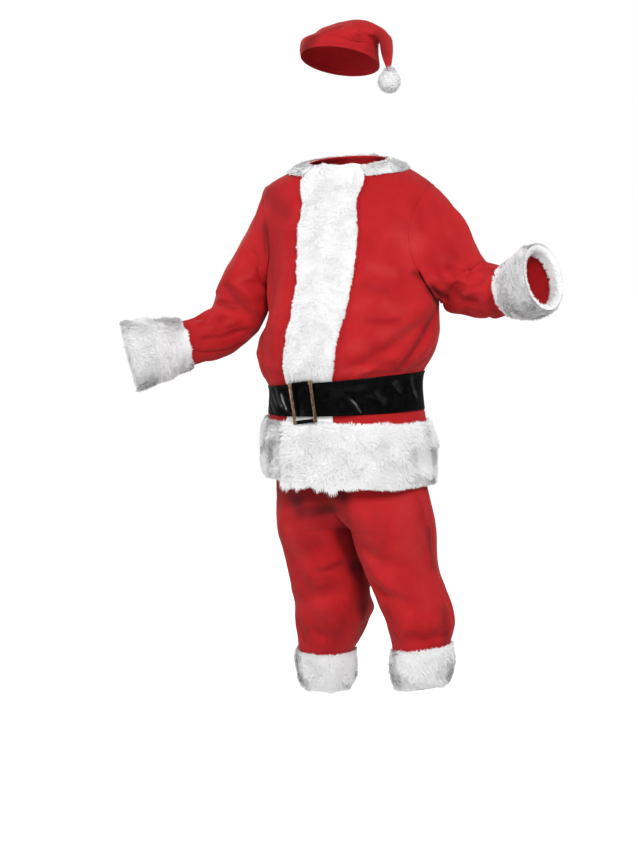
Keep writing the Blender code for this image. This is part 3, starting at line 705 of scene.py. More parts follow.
# The velour's tone in spots: darker ones are partly the nap leaning away and partly painted shade,
# in hollows, below the hem band, at the armpits, between the right sleeve and the body, on the
# inner legs and in the hat's folds; lighter ones are partly the nap leaning towards the eye and
# partly
# painted sheen. Each row is a short line in space, in millimetres, with its reach and tone:
# x1, y1, z1, x2, y2, z2, radius, tone.
napShadeSheenSpots = (
    (-152, -64, -738, 42, -130, -734, 26, 0.68), (-102, -105, -743, -70, -124, -765, 16, 0.3),
    (-64, -126, -790, 26, -115, -771, 14, 0.57), (6, -56, -835, 28, -12, -919, 21, 0.65),
    (30, -8, -932, 37, 18, -1017, 23, 0.68), (35, 20, -1036, 10, 44, -1099, 16, 0.51),
    (-38, -80, -926, 8, -49, -909, 8, 0.41), (-75, -68, -963, -20, -65, -951, 9, 0.19),
    (-113, -16, -1073, -94, -23, -1092, 12, 0.34), (-32, -6, -1114, 13, -26, -1024, 12, 0.22),
    (-101, -115, -833, -94, -83, -892, 21, -0.23), (-41, -111, -824, -19, -84, -849, 19, -0.11),
    (-111, -44, -983, -105, -33, -1021, 14, -0.1), (-49, -54, -1002, -34, -49, -1040, 21, -0.06),
    (45, -129, -744, 49, -119, -795, 15, 0.34), (49, -105, -811, 48, -81, -836, 14, 0.38),
    (-148, -74, -772, -63, -124, -758, 18, 0.32), (169, -73, -748, 184, -78, -862, 28, -0.2),
    (200, -55, -865, 227, -76, -989, 16, -0.17), (93, -126, -774, 104, -95, -891, 19, -0.1),
    (155, -103, -934, 174, -99, -974, 19, -0.07), (209, -17, -824, 216, -9, -912, 11, 0.61),
    (192, -38, -752, 202, -38, -798, 9, 0.24), (258, -39, -1004, 261, -35, -1074, 16, 0.54),
    (133, -92, -995, 153, -92, -1062, 9, 0.41), (161, -95, -1069, 253, -64, -1049, 14, 0.19),
    (121, -119, -785, 135, -113, -847, 19, 0.19), (108, -122, -222, 153, -104, -233, 12, -0.38),
    (157, -79, -145, 179, -73, -174, 21, -0.28), (188, -64, -153, 195, -62, -185, 12, -0.17),
    (148, -127, -309, 174, -108, -323, 16, -0.23), (144, -138, -368, 190, -84, -359, 19, -0.23),
    (78, -165, -398, 104, -157, -401, 16, -0.2), (58, -165, -453, 107, -145, -454, 12, -0.23),
    (75, -148, -310, 111, -139, -298, 12, -0.15), (177, -79, -212, 189, -73, -226, 12, -0.17),
    (94, -134, -265, 141, -123, -274, 12, 0.24), (109, -148, -336, 170, -119, -344, 9, 0.19),
    (192, -71, -233, 218, -24, -280, 8, 0.74), (218, 15, -303, 210, -52, -366, 9, 0.72),
    (205, -63, -381, 174, -99, -439, 9, 0.62), (160, -112, -442, 166, -100, -455, 9, 0.3),
    (116, -138, -457, 160, -107, -449, 8, 0.34), (102, -149, -425, 144, -133, -431, 12, 0.19),
    (-181, -67, -129, -150, -112, -337, 11, 0.68), (-181, -54, -46, -115, -91, -102, 19, 0.35),
    (-133, -135, -366, -124, -147, -446, 14, 0.22), (-120, -98, -162, -108, -141, -345, 9, -0.07),
    (-136, -141, -461, -96, -154, -467, 9, 0.34), (222, -40, -271, 229, -10, -289, 13, 0.86),
    (248, -30, -201, 266, -12, -210, 14, -0.23), (215, -53, -253, 252, -24, -240, 9, -0.2),
    (262, -19, -254, 307, -16, -253, 7, -0.17), (180, -67, -125, 211, -57, -164, 14, -0.12),
    (212, 3, -49, 256, -23, -140, 21, -0.06), (259, -18, -223, 365, -7, -224, 7, 0.61),
    (258, -8, -270, 330, -22, -310, 19, 0.35), (237, -35, -239, 252, -23, -257, 6, 0.41),
    (358, -34, -292, 363, -15, -322, 9, 0.41), (-235, -53, -144, -286, -56, -230, 19, -0.17),
    (-246, -83, -258, -217, -75, -241, 8, -0.15), (-277, -82, -265, -247, -82, -296, 10, 0.5),
    (-235, -79, -309, -207, -57, -334, 12, 0.5), (-299, -83, -303, -253, -90, -318, 8, 0.41),
    (-314, -136, -388, -220, -72, -367, 6, 0.27), (-330, -139, -418, -243, -62, -398, 6, 0.3),
    (-317, -132, -369, -249, -105, -348, 7, -0.15), (-211, -70, -348, -223, -35, -377, 9, 0.41),
    (-352, -139, -365, -336, -146, -414, 7, 0.24), (-70, -120, -765, 0, -118, -770, 34, 0.36),
    (-78, -78, 262, -50, -93, 292, 16, 0.62), (-35, -90, 303, 6, -64, 320, 10, 0.26),
    (90, -34, 300, 98, -22, 262, 17, 0.46), (55, -60, 300, 50, -78, 270, 10, 0.22),
)


def addNapShadeSheen(bm):
    # the nap's own tone with painted shade and painted sheen, one value for each corner
    layer = bm.verts.layers.float.new("napShadeSheen")
    places = np.array([v.co for v in bm.verts])
    total = np.zeros(len(places))
    for *line, tone in napShadeSheenSpots:
        line = np.array(line) / 1000
        start, way, radius = line[:3], line[3:6] - line[:3], line[6]
        t = np.clip((places - start) @ way / (way @ way + 1e-9), 0, 1)
        away = np.linalg.norm(places - start - t[:, None] * way, axis=1)
        total += tone * np.exp(-((away / radius) ** 2))
    for vert, value in zip(bm.verts, np.clip(total, -1, 1)):
        vert[layer] = value


def waves(points, settings, seeds):
    # broad soft waves with finer ones on them
    broad = settings["softWaves"] * softNoise(points, settings["softSize"], seeds[0])
    return broad + settings["fineWaves"] * softNoise(points, settings["fineSize"], seeds[1])


def layCloth(name, node, points, rise, around=False):
    normals = gridNormals(points, around)
    points = points + normals * rise[..., None]
    bm = layGrid(points, normals, around)
    # the nap's tone with painted shade and painted sheen, from the spots
    addNapShadeSheen(bm)
    return keep(name, bm, velour, node, "red velour", clothThick)


def between(lows, highs, count):
    t = np.linspace(0, 1, count + 1)[None, :]
    return lows[:, None] * (1 - t) + highs[:, None] * t


def readGrid(grid, s, t, around):
    # values of a grid at fractions s along its columns and t along its rows
    rows, columns = grid.shape[:2]
    x = s * (columns if around else columns - 1)
    y = t * (rows - 1)
    j, i = np.floor(x).astype(int), np.minimum(np.floor(y).astype(int), rows - 2)
    if not around:
        j = np.minimum(j, columns - 2)
    fx, fy = (x - j)[:, None], (y - i)[:, None]
    k = (j + 1) % columns
    j = j % columns
    low = grid[i, j] * (1 - fx) + grid[i, k] * fx
    high = grid[i + 1, j] * (1 - fx) + grid[i + 1, k] * fx
    return low * (1 - fy) + high * fy


def unit(vectors):
    return vectors / (np.linalg.norm(vectors, axis=-1)[..., None] + 1e-12)


lockSettings = {
    "lean": (0.72, 1.25),
    "bend": (0.05, 0.42),
    "roll": 0.26,
    "firstPart": 0.55,
    "narrowing": 0.8,
    # painted shade: each lock is darker towards its root, where shade falls among the locks
    "tones": (0.15, 0.15, 0.7, 0.7, 1.0),  # root, root, middle, middle, tip
}


def lockArrays(roots, normals, combs, lengths, widths, rng):
    # five corners and two faces for each lock: it leans with the comb and bends over
    settings = lockSettings
    count, first = len(roots), settings["firstPart"]
    lean = rng.uniform(*settings["lean"], count)[:, None]
    bend = lean + rng.uniform(*settings["bend"], count)[:, None]
    lengths = lengths[:, None]
    middle = roots + (normals * np.cos(lean) + combs * np.sin(lean)) * lengths * first
    tip = middle + (normals * np.cos(bend) + combs * np.sin(bend)) * lengths * (1 - first)
    roll = rng.normal(0, settings["roll"], count)[:, None]
    side = unit(np.cross(combs, normals)) * np.cos(roll) + normals * np.sin(roll)
    side = side * widths[:, None] * 0.5
    face = np.cross(side, middle - roots)
    side = np.where(np.sum(face * normals, axis=-1)[:, None] > 0, side, -side)
    upper = side * settings["narrowing"]
    corners = np.stack([roots - side, roots + side, middle + upper, middle - upper, tip], 1)
    start = np.arange(count)[:, None] * 5
    return corners.reshape(-1, 3), start + np.array([[0, 1, 2, 3]]), start + np.array([[3, 2, 4]])


def addLocks(bm, roots, normals, combs, lengths, widths, rng):
    # the locks are joined to the back's mesh, with a soft shading normal for each corner
    corners, quads, tips = lockArrays(roots, normals, combs, lengths, widths, rng)
    mesh = bpy.data.meshes.new("locks")
    mesh.from_pydata(corners, [], quads.tolist() + tips.tolist())
    tip = mesh.attributes.new("tip", "FLOAT", "POINT")
    tip.data.foreach_set("value", np.tile(lockSettings["tones"], len(roots)))
    soft = mesh.attributes.new("soft", "FLOAT_VECTOR", "POINT")
    soft.data.foreach_set("vector", np.repeat(normals, 5, axis=0).ravel())
    bm.from_mesh(mesh)
    bpy.data.meshes.remove(mesh)


def markPile(bm, tone):
    # the pile's back has one tone, darker than the tips as painted shade among the roots, and its
    # own normals
    tip = bm.verts.layers.float.new("tip")
    soft = bm.verts.layers.float_vector.new("soft")
    bm.normal_update()
    for vert in bm.verts:
        vert[tip] = tone
        vert[soft] = vert.normal


def softenShading(piece):
    # locks shade mostly as the band they stand on, so that the pile looks soft
    mesh = piece.data
    count = len(mesh.vertices)
    soft, own = np.zeros(count * 3), np.zeros(count * 3)
    mesh.attributes["soft"].data.foreach_get("vector", soft)
    mesh.vertices.foreach_get("normal", own)
    soft, own = soft.reshape(-1, 3), own.reshape(-1, 3)
    mesh.normals_split_custom_set_from_vertices(unit(soft * 1.1 + own))
    mesh.attributes.remove(mesh.attributes["soft"])


turnedInSettings = {
    "pastRim": 0.0048,
    "depth": 0.0036,
    "deepest": 0.94,
    "lockLength": 0.0075,
    "lengths": (0.6, 1.2),
    "scatter": 0.5,
    "share": 6,  # one lock inside for so many outside
}


def rimStrip(surface, around, first, last, count):
    # from just outside a tube's rim, over its edge and a little way in
    strip = surface(*np.meshgrid(around, np.linspace(first, last, count)))
    inwards = np.full(count, clothThick)
    inwards[0] = -turnedInSettings["pastRim"]
    return strip - gridNormals(strip, True) * inwards[:, None, None]


def turnPlushIn(bm, points, count, rng):
    # the band goes on round the edge of an opening, with its pile inwards
    settings = turnedInSettings
    normals = -gridNormals(points, True)
    skin = points + normals * settings["depth"]
    strip = layGrid(skin, normals, True)
    markPile(strip, plushSettings["backShadeTone"])
    mesh = bpy.data.meshes.new("turned in")
    strip.to_mesh(mesh)
    strip.free()
    bm.from_mesh(mesh)
    bpy.data.meshes.remove(mesh)
    s, t = rng.uniform(0, 1, count), rng.uniform(0, settings["deepest"], count)
    ups = unit(readGrid(normals, s, t, True))
    combs = unit(readGrid(unit(np.gradient(points, axis=0)), s, t, True))
    aside = settings["scatter"] * np.cross(ups, combs)
    combs = unit(combs + aside * rng.normal(0, 1, count)[:, None])
    lengths = settings["lockLength"] * rng.uniform(*settings["lengths"], count)
    widths = plushSettings["lockWidth"] * rng.uniform(*plushSettings["widths"], count)
    addLocks(bm, readGrid(skin, s, t, True), ups, combs, lengths, widths, rng)


plushSettings = {
    "backDepth": 0.60,  # how much of the pile's depth the solid back takes
    "leastDepth": laidOn * 3,
    "rimDepth": laidOn * 2.4,
    "backing": laidOn * 1.6,
    # painted shade: the back is a little darker than the lock tips
    "backShadeTone": 0.35,
    "clumpSize": 0.020,
    "clumpDepth": 0.0011,
    "lockLength": 0.0125,
    "lockWidth": 0.0019,
    "shortest": 0.003,
    "longest": 0.022,
    "thinShare": 0.45,  # how long a lock is where the band is thin
    "lengths": (0.7, 1.2),
    "widths": (0.7, 1.3),
    "rimComb": (0.09, 1.5),  # how far in from a rim the pile leans over it, and how much
    "sideComb": (0.05, 1.2),
    "rimShare": 0.16,  # extra locks along the rims, so that no edge looks cut
    "rimReach": 0.05,
    "swirl": 1.5,
    "swirlSize": 0.035,
    "scatter": 0.45,
    "unevenness": 0.28,
    "unevenSize": 0.018,
    "flattening": 0.75,
    "tuftSize": 0.014,
    "tuftLength": 0.75,
}


def backSkin(points, normals, depth, deep, around, seed):
    # the outside of the band's back, lumpy where the pile clumps, and thin at its rims
    settings = plushSettings
    rows, columns = points.shape[:2]
    clumps = softNoise(points, settings["clumpSize"], seed)
    clumps = clumps + 0.5 * softNoise(points, settings["clumpSize"] * 0.45, seed + 1)  # finer
    back = depth * settings["backDepth"] + clumps * settings["clumpDepth"] * depth / deep
    back = np.maximum(back, settings["leastDepth"])
    back[[0, -1]] = settings["rimDepth"]
    if not around:
        back[:, [0, -1]] = settings["rimDepth"]
    return points + normals * back[..., None]


def scatterLocks(count, edges, rng):
    # places over the band, with more of them along the rims
    s, t = rng.uniform(0, 1, count), rng.uniform(0, 1, count)
    border = int(count * plushSettings["rimShare"])
    chosen = (t if edges == "rows" else s)[:border]
    chosen[:] = np.where(rng.uniform(0, 1, border) < 0.5, 0.0, 1.0)
    chosen += np.where(chosen > 0.5, -1, 1) * rng.uniform(0, plushSettings["rimReach"], border)
    if edges != "rows":
        t[border:border * 2] = np.where(rng.uniform(0, 1, border) < 0.5, 0.0, 1.0)
    return s, t


def pastEdges(place, reach):
    # 1 at the first edge, -1 at the last and 0 between them
    return np.clip(1 - place / reach, 0, 1) - np.clip(1 - (1 - place) / reach, 0, 1)


def combLocks(roots, ups, comb, rng, seed):
    # the pile falls one way, but swirls and scatters
    settings = plushSettings
    fall = np.array(comb) + 0 * roots
    fall = fall - ups * np.sum(fall * ups, axis=-1)[:, None]
    swirl = settings["swirl"] * softNoise(roots, settings["swirlSize"], seed + 2)
    swirl = swirl + rng.normal(0, settings["scatter"], len(roots))
    return fall * np.cos(swirl)[:, None] + np.cross(ups, fall) * np.sin(swirl)[:, None]


def lockLengths(roots, depths, deep, longer, rng, seed):
    # long where the band is deep, and uneven everywhere
    settings = plushSettings
    thin = settings["thinShare"]
    uneven = 1 + settings["unevenness"] * softNoise(roots, settings["unevenSize"], seed + 3)
    lengths = settings["lockLength"] * (thin + (1 - thin) * depths / deep) * uneven
    lengths = lengths * rng.uniform(*settings["lengths"], len(roots)) * longer
    return np.clip(lengths, settings["shortest"], settings["longest"])


def layPlush(name, node, points, count, deep, around=False, pressed=None, seed=1,
             comb=(0.0, 0.0, -1.0), edges="rows", longer=1.0, turnedIn=None, tufts=0.0):
    # a band: a solid back on the grid of points, and locks of pile on it
    rng = np.random.default_rng(seed)
    settings = plushSettings
    thin = pileDepth["edge"]
    rows, columns = points.shape[:2]
    normals = gridNormals(points, around)
    down = np.linspace(0, 1, rows)[:, None] + np.zeros((1, columns))
    over = np.linspace(0, 1, columns)[None, :] + np.zeros((rows, 1))
    # full in the middle and thin at the rims
    puff = np.sin(np.pi * (0.02 + 0.96 * (down if edges == "rows" else over))) ** 0.4
    depth = thin + (deep - thin) * puff
    if pressed is not None:
        depth = depth * (1 - pressed) + thin * 0.8 * pressed
    skin = backSkin(points, normals, depth, deep, around, seed)
    bm = layGrid(skin, normals, around)
    bmesh.ops.solidify(bm, geom=bm.faces[:], thickness=settings["backing"])
    markPile(bm, settings["backShadeTone"])

    s, t = scatterLocks(count, edges, rng)

    def read(grid):
        return readGrid(grid, s, t, around)

    roots, ups = read(skin), unit(read(normals))
    combs = combLocks(roots, ups, comb, rng, seed)
    leans = [(0, t, settings["rimComb"])] + [(1, s, settings["sideComb"])] * (not around)
    for axis, place, (reach, much) in leans:
        way = unit(read(unit(np.gradient(points, axis=axis))))
        combs = combs - way * (pastEdges(place, reach) * much)[:, None]
    combs = unit(combs - ups * np.sum(combs * ups, axis=-1)[:, None])
    lengths = lockLengths(roots, read(depth[..., None])[:, 0], deep, longer, rng, seed)
    if pressed is not None:
        lengths = lengths * (1 - settings["flattening"] * read(pressed[..., None])[:, 0])
    if tufts:  # a stretch of the lower edge where the pile hangs in uneven tufts
        uneven = np.clip(1 + softNoise(roots, settings["tuftSize"], seed + 4), 0, 2)
        lengths = lengths * (1 + settings["tuftLength"] * (s < tufts) * (t < 0.035) * uneven)
    widths = settings["lockWidth"] * rng.uniform(*settings["widths"], count)
    addLocks(bm, roots, ups, combs, lengths, widths, rng)
    if turnedIn is not None:
        turnPlushIn(bm, turnedIn, count // turnedInSettings["share"], rng)
    piece = keep(name, bm, plushPile, node, "white plush")
    softenShading(piece)
    return piece


finishes = {
    "red velour": {
        "patches": {
            "Light Tone": (0.462, 0.0095, 0.013, 1),
            "Dark Tone": (0.385, 0.0040, 0.0070, 1),
            "Patch Scale": 11.0, "Grain Scale": 900.0, "Grain Share": 0.35,
        },
        "surface": {
            "Roughness": 0.82, "Specular IOR Level": 0.25,
            "Sheen Weight": 0.17, "Sheen Roughness": 0.45, "Sheen Tint": (1.0, 0.30, 0.28, 1),
        },
        "bump": {"Strength": 0.35, "Distance": 0.0006},
        # painted sheen and painted shade, which the spots mix into the velour's tone along with the
        # nap's own
        "napSheenTone": (0.560, 0.048, 0.047, 1),
        "napShadeTone": (0.090, 0.0012, 0.003, 1),
    },
    "white plush": {
        "patches": {
            "Light Tone": (1, 1, 1, 1),
            "Dark Tone": (0.975, 0.975, 0.978, 1),
            "Patch Scale": 22.0, "Grain Scale": 260.0, "Grain Share": 0.5,
        },
        "surface": {
            "Roughness": 0.92, "Specular IOR Level": 0.2,
            "Sheen Weight": 0.40, "Sheen Roughness": 0.6,
        },
        "bump": {"Strength": 0.5, "Distance": 0.0012},
        # painted shade: the roots are a little darker than the tips
        "tip": (0.925, 0.925, 0.927, 1),
        "root": (0.890, 0.890, 0.895, 1),
    },
    "black vinyl": {
        "patches": {
            "Light Tone": (0.0038, 0.0036, 0.0040, 1),
            "Dark Tone": (0.0014, 0.0014, 0.0016, 1),
            "Patch Scale": 60.0, "Grain Scale": 420.0, "Grain Share": 0.3,
        },
        "surface": {
            "Roughness": 0.24, "Specular IOR Level": 0.02, "Coat IOR": 2.0, "Coat Roughness": 0.06,
        },
        "bump": {"Strength": 0.35, "Distance": 0.0012},
        "crumple": {"Scale": 70.0, "Detail": 4.0, "Distortion": 1.4},
    },
    "bronze metal": {
        "patches": {
            "Light Tone": (0.30, 0.205, 0.125, 1),
            "Dark Tone": (0.085, 0.056, 0.037, 1),
            "Patch Scale": 160.0, "Grain Scale": 900.0, "Grain Share": 0.6,
        },
        "surface": {"Metallic": 1.0, "Roughness": 0.38},
        "bump": {"Strength": 0.25, "Distance": 0.0004},
    },
}


def mixTones(tree, share, first, second, how="MIX"):
    look = {"data_type": "RGBA", "blend_type": how}
    return addNode(tree, "Mix", look, Factor=share, A=first, B=second).outputs["Result"]


def readLayer(tree, name):
    return addNode(tree, "Attribute", {"attribute_name": name}).outputs["Fac"]


def buildPatches():
    # two tones in soft patches, with a fine grain over them
    tree = bpy.data.node_groups.new("cloth patches", "ShaderNodeTree")
    for way, kind, names in (
        ("INPUT", "Color", ("Light Tone", "Dark Tone")),
        ("INPUT", "Float", ("Patch Scale", "Grain Scale", "Grain Share")),
        ("OUTPUT", "Color", ("Color",)),
        ("OUTPUT", "Float", ("Grain",)),
    ):
        for name in names:
            tree.interface.new_socket(name, in_out=way, socket_type="NodeSocket" + kind)
    given = tree.nodes.new("NodeGroupInput").outputs
    place = addNode(tree, "TexCoord").outputs["Object"]
    patch = addNode(
        tree, "TexNoise", Vector=place, Scale=given["Patch Scale"],
        Detail=3.0, Roughness=0.55, Distortion=0.6,
    )
    grain = addNode(
        tree, "TexNoise", Vector=place, Scale=given["Grain Scale"], Detail=2.0, Roughness=0.6
    )
    spread = addNode(tree, "MapRange", Value=patch, From_Min=0.36, From_Max=0.66)
    lower = addNode(tree, "Math", {"operation": "SUBTRACT"}, i0=grain, i1=0.5)
    share = addNode(
        tree, "Math", {"operation": "MULTIPLY_ADD"}, i0=lower, i1=given["Grain Share"], i2=spread
    )
    tones = mixTones(tree, share, given["Dark Tone"], given["Light Tone"])
    feed(tree, tree.nodes.new("NodeGroupOutput"), Color=tones, Grain=grain)
    return tree


patches = buildPatches()


def mixFinish(name):
    # the tones in patches and the bump from their grain, which the finishes add to
    finish = finishes[name]
    made = bpy.data.materials.new(name)
    made.use_nodes = True
    tree = made.node_tree
    look = addNode(tree, "Group", {"node_tree": patches}, **finish["patches"])
    bump = addNode(tree, "Bump", Height=look.outputs["Grain"], **finish["bump"])
    shader = tree.nodes["Principled BSDF"]
    colour = look.outputs["Color"]
    feed(tree, shader, Base_Color=colour, Normal=bump, **finish["surface"])
    return made, colour, bump, shader


def mixVelour():
    # the spots of nap tone, painted shade and painted sheen turn the tone lighter below 0 and
    # darker above it
    made, colour, _, shader = mixFinish("red velour")
    tree = made.node_tree
    napShadeSheen = readLayer(tree, "napShadeSheen")
    sheenShare = addNode(tree, "Math", {"operation": "MULTIPLY"}, i0=napShadeSheen, i1=-1.0).outputs[0]
    for share, tone in ((sheenShare, "napSheenTone"), (napShadeSheen, "napShadeTone")):
        colour = mixTones(tree, share, colour, finishes["red velour"][tone])
    feed(tree, shader, Base_Color=colour)
    return made


def mixPlush():
    # each lock is whitest at its tip, with painted shade towards its root
    made, colour, _, shader = mixFinish("white plush")
    tree, finish = made.node_tree, finishes["white plush"]
    pile = mixTones(tree, readLayer(tree, "tip"), finish["root"], finish["tip"])
    feed(tree, shader, Base_Color=mixTones(tree, 1.0, pile, colour, "MULTIPLY"))
    return made


def mixVinyl():
    # a crumpled skin that shines along its sharp folds
    made, _, bump, shader = mixFinish("black vinyl")
    tree = made.node_tree
    place = addNode(tree, "TexCoord").outputs["Object"]
    crumple = addNode(tree, "TexNoise", Vector=place, **finishes["black vinyl"]["crumple"])
    feed(tree, bump, Height=crumple)
    feed(tree, shader, Coat_Weight=readLayer(tree, "shine"))
    return made


velour = mixVelour()
plushPile = mixPlush()
vinyl = mixVinyl()
bronze = mixFinish("bronze metal")[0]
print("finishes mixed")

jacketSettings = {
    "seamDepth": 0.0014,
    "seamReach": 0.009 / 0.19,  # as a turn
    "puckerDepth": 0.0007,
    "softWaves": 0.0022,
    "softSize": 0.085,
    "fineWaves": 0.0007,
    "fineSize": 0.028,
    "holeClear": 0.010,  # how far the cut stands back from the armhole, as a turn
    "shoulderLap": 0.005,
}

# Creases: turnA, placeA, turnB, placeB, width, rise, bow, with the last three in millimetres
jacketCreases = (
    (97, -0.305, 56, -0.466, 7.5, -6, 2), (85, -0.396, 67, -0.455, 6, -3.4, 2),
    (58, -0.228, 88, -0.281, 6.5, -4.5, -2), (21, -0.213, 45, -0.221, 12, 3.6, 3),
    (35, -0.296, 53, -0.341, 13, 3.2, 3), (25, -0.349, 51, -0.348, 10, -3, 3),
    (17, -0.394, 46, -0.383, 14, 2.6, 3), (17, -0.46, 54, -0.466, 8, 3, 2),
    (51, -0.154, 58, -0.21, 12, 3, 2), (88, -0.43, 66, -0.478, 6, 4, 3),
    (40, -0.452, 26, -0.48, 5.5, 3.4, 2), (33, -0.44, 20, -0.48, 5, -3, 0),
    (56, -0.455, 46, -0.482, 5, 3.2, 0), (-36, -0.468, -42, -0.425, 5.5, 3.4, 0),
    (-46, -0.474, -56, -0.4, 7, -4, 4), (-56, -0.476, -72, -0.395, 7.5, 4.5, 6),
    (-68, -0.474, -86, -0.41, 7, -4, 4), (-30, -0.13, -46, -0.26, 12, 3, 8),
    (-38, -0.24, -52, -0.38, 14, -3.2, 10), (-34, -0.33, -40, -0.44, 11, 2.6, -6),
    (-60, -0.3, -48, -0.42, 12, 3, 10), (108, -0.285, 150, -0.36, 12, -4.5, 12),
    (116, -0.3, 160, -0.42, 13, 4.5, 14), (-106, -0.285, -148, -0.35, 12, -4.5, 12),
    (-114, -0.305, -158, -0.43, 12, 4.5, 14), (120, -0.474, 132, -0.41, 8, 4.4, 4),
    (140, -0.476, 146, -0.425, 7, -4, 0), (158, -0.476, 154, -0.42, 8, 4.4, 3),
    (176, -0.476, 178, -0.405, 8, -4, 0), (-162, -0.476, -160, -0.425, 7.5, 4.2, 3),
    (-144, -0.476, -138, -0.415, 8, -4.2, 4), (-124, -0.474, -116, -0.41, 8, 4.2, 4),
    (150, -0.12, 190, -0.165, 15, 3, 12), (200, -0.15, 236, -0.23, 14, -3, 10),
    (30, -0.592, 40, -0.54, 7, 3, 0), (62, -0.59, 70, -0.545, 8, -3.4, 2),
    (-44, -0.59, -40, -0.548, 7, 3.2, 0), (-66, -0.59, -74, -0.548, 7, -3.2, 0),
    (100, -0.59, 108, -0.548, 8, 3.4, 0), (140, -0.59, 132, -0.548, 8, -3.2, 0),
    (172, -0.59, 176, -0.548, 8, 3.4, 0), (-150, -0.59, -146, -0.548, 8, 3.2, 0),
    (-112, -0.59, -118, -0.548, 8, -3.4, 0),
)


def jacketRise(turn, height, points, settings):
    # the cloth lies flat where a band or the belt covers it
    rise = creaseHeight(jacketCreases, turn, height, radii["body"])
    rise = rise + waves(points, settings, (11, 12))
    swing = fromFront(turn)
    edge, band = np.radians(along(closing, height))
    underBand = ease((swing - edge + 0.10) / 0.06) * ease((band + 0.05 - swing) / 0.05)
    underBand = underBand * ease((height - hemTop + 0.02) / 0.02)
    underStrap = np.exp(-(((height - beltSize["height"]) / 0.047) ** 6))
    underHem = ease((hemTop + 0.012 - height) / 0.012)
    underNeck = ease((height - 0.002) / 0.010)
    return rise * (1 - np.maximum.reduce([underBand, underStrap, underHem, underNeck]))


def seamRise(away, height, settings):
    # a stitched seam pulls in a little and puckers beside its thread
    beside = near(away, settings["seamReach"])
    # uneven puckers, about 12 mm apart
    ripple = np.sin(height * 520.0 + 2.0 * np.sin(height * 61.0))
    return beside * (settings["puckerDepth"] * ripple - settings["seamDepth"])


def buildJacket(settings):
    low, high = armholeSize["low"], armholeSize["high"]
    chest = low + (high - low) * (0.5 - 0.5 * np.cos(np.linspace(0, math.pi, 58)))
    v = np.concatenate([
        np.linspace(bodyFoot, hemTop, 26)[:-1], np.linspace(hemTop, low, 62)[:-1],
        chest, np.linspace(high, bodyNeck, 12)[1:],
    ])
    lapped = v + settings["shoulderLap"] * ease((v - high + 0.05) / 0.05)
    frontHole, backHole = notch(lapped, "front"), notch(lapped, "back")
    clear = settings["holeClear"]
    frontCut = math.pi / 2 - frontHole + clear * (frontHole > 0.01)
    backCut = math.pi / 2 + backHole - clear * (backHole > 0.01)
    edge = np.radians(along(closing, v)[0])
    rows = v[:, None]
    made = {}
    for name, node, start, end, seams, count, surface in (
        ("frontLeft", "jacket_front_left", edge, frontCut, "end", 84, body),
        ("frontRight", "jacket_front_right", -frontCut, edge + overlap, "start", 74, under),
        ("backPanel", "jacket_back", backCut, math.tau - backCut, "start end", 112, body),
    ):
        turns = between(start, end, count)
        heights = rows + 0 * turns
        points = surface(turns, heights)
        away = np.minimum(
            np.abs(turns - start[:, None]) if "start" in seams else math.inf,
            np.abs(turns - end[:, None]) if "end" in seams else math.inf,
        )
        inHole = np.where(heights > low + 0.004, 0.25, 1.0)
        rise = jacketRise(turns, heights, points, settings)
        rise = rise + seamRise(away, heights, settings) * inHole
        made[name] = layCloth(name, node, points, rise)
    print("jacket laid")
    return made


jacketPieces = buildJacket(jacketSettings)

sleeveSettings = {
    "length": 0.46,
    "softWaves": 0.0022,
    "softSize": 0.07,
    "fineWaves": 0.0008,
    "fineSize": 0.024,
    "columns": 104,
    "rows": 96,
    "shortOfRim": 0.978,  # the plush goes on round the rim
    "shoulderFill": 0.0045,
    "seamDepth": 0.0012,
    "gatherDepth": 0.0006,
    "underSeamDepth": 0.0010,
}

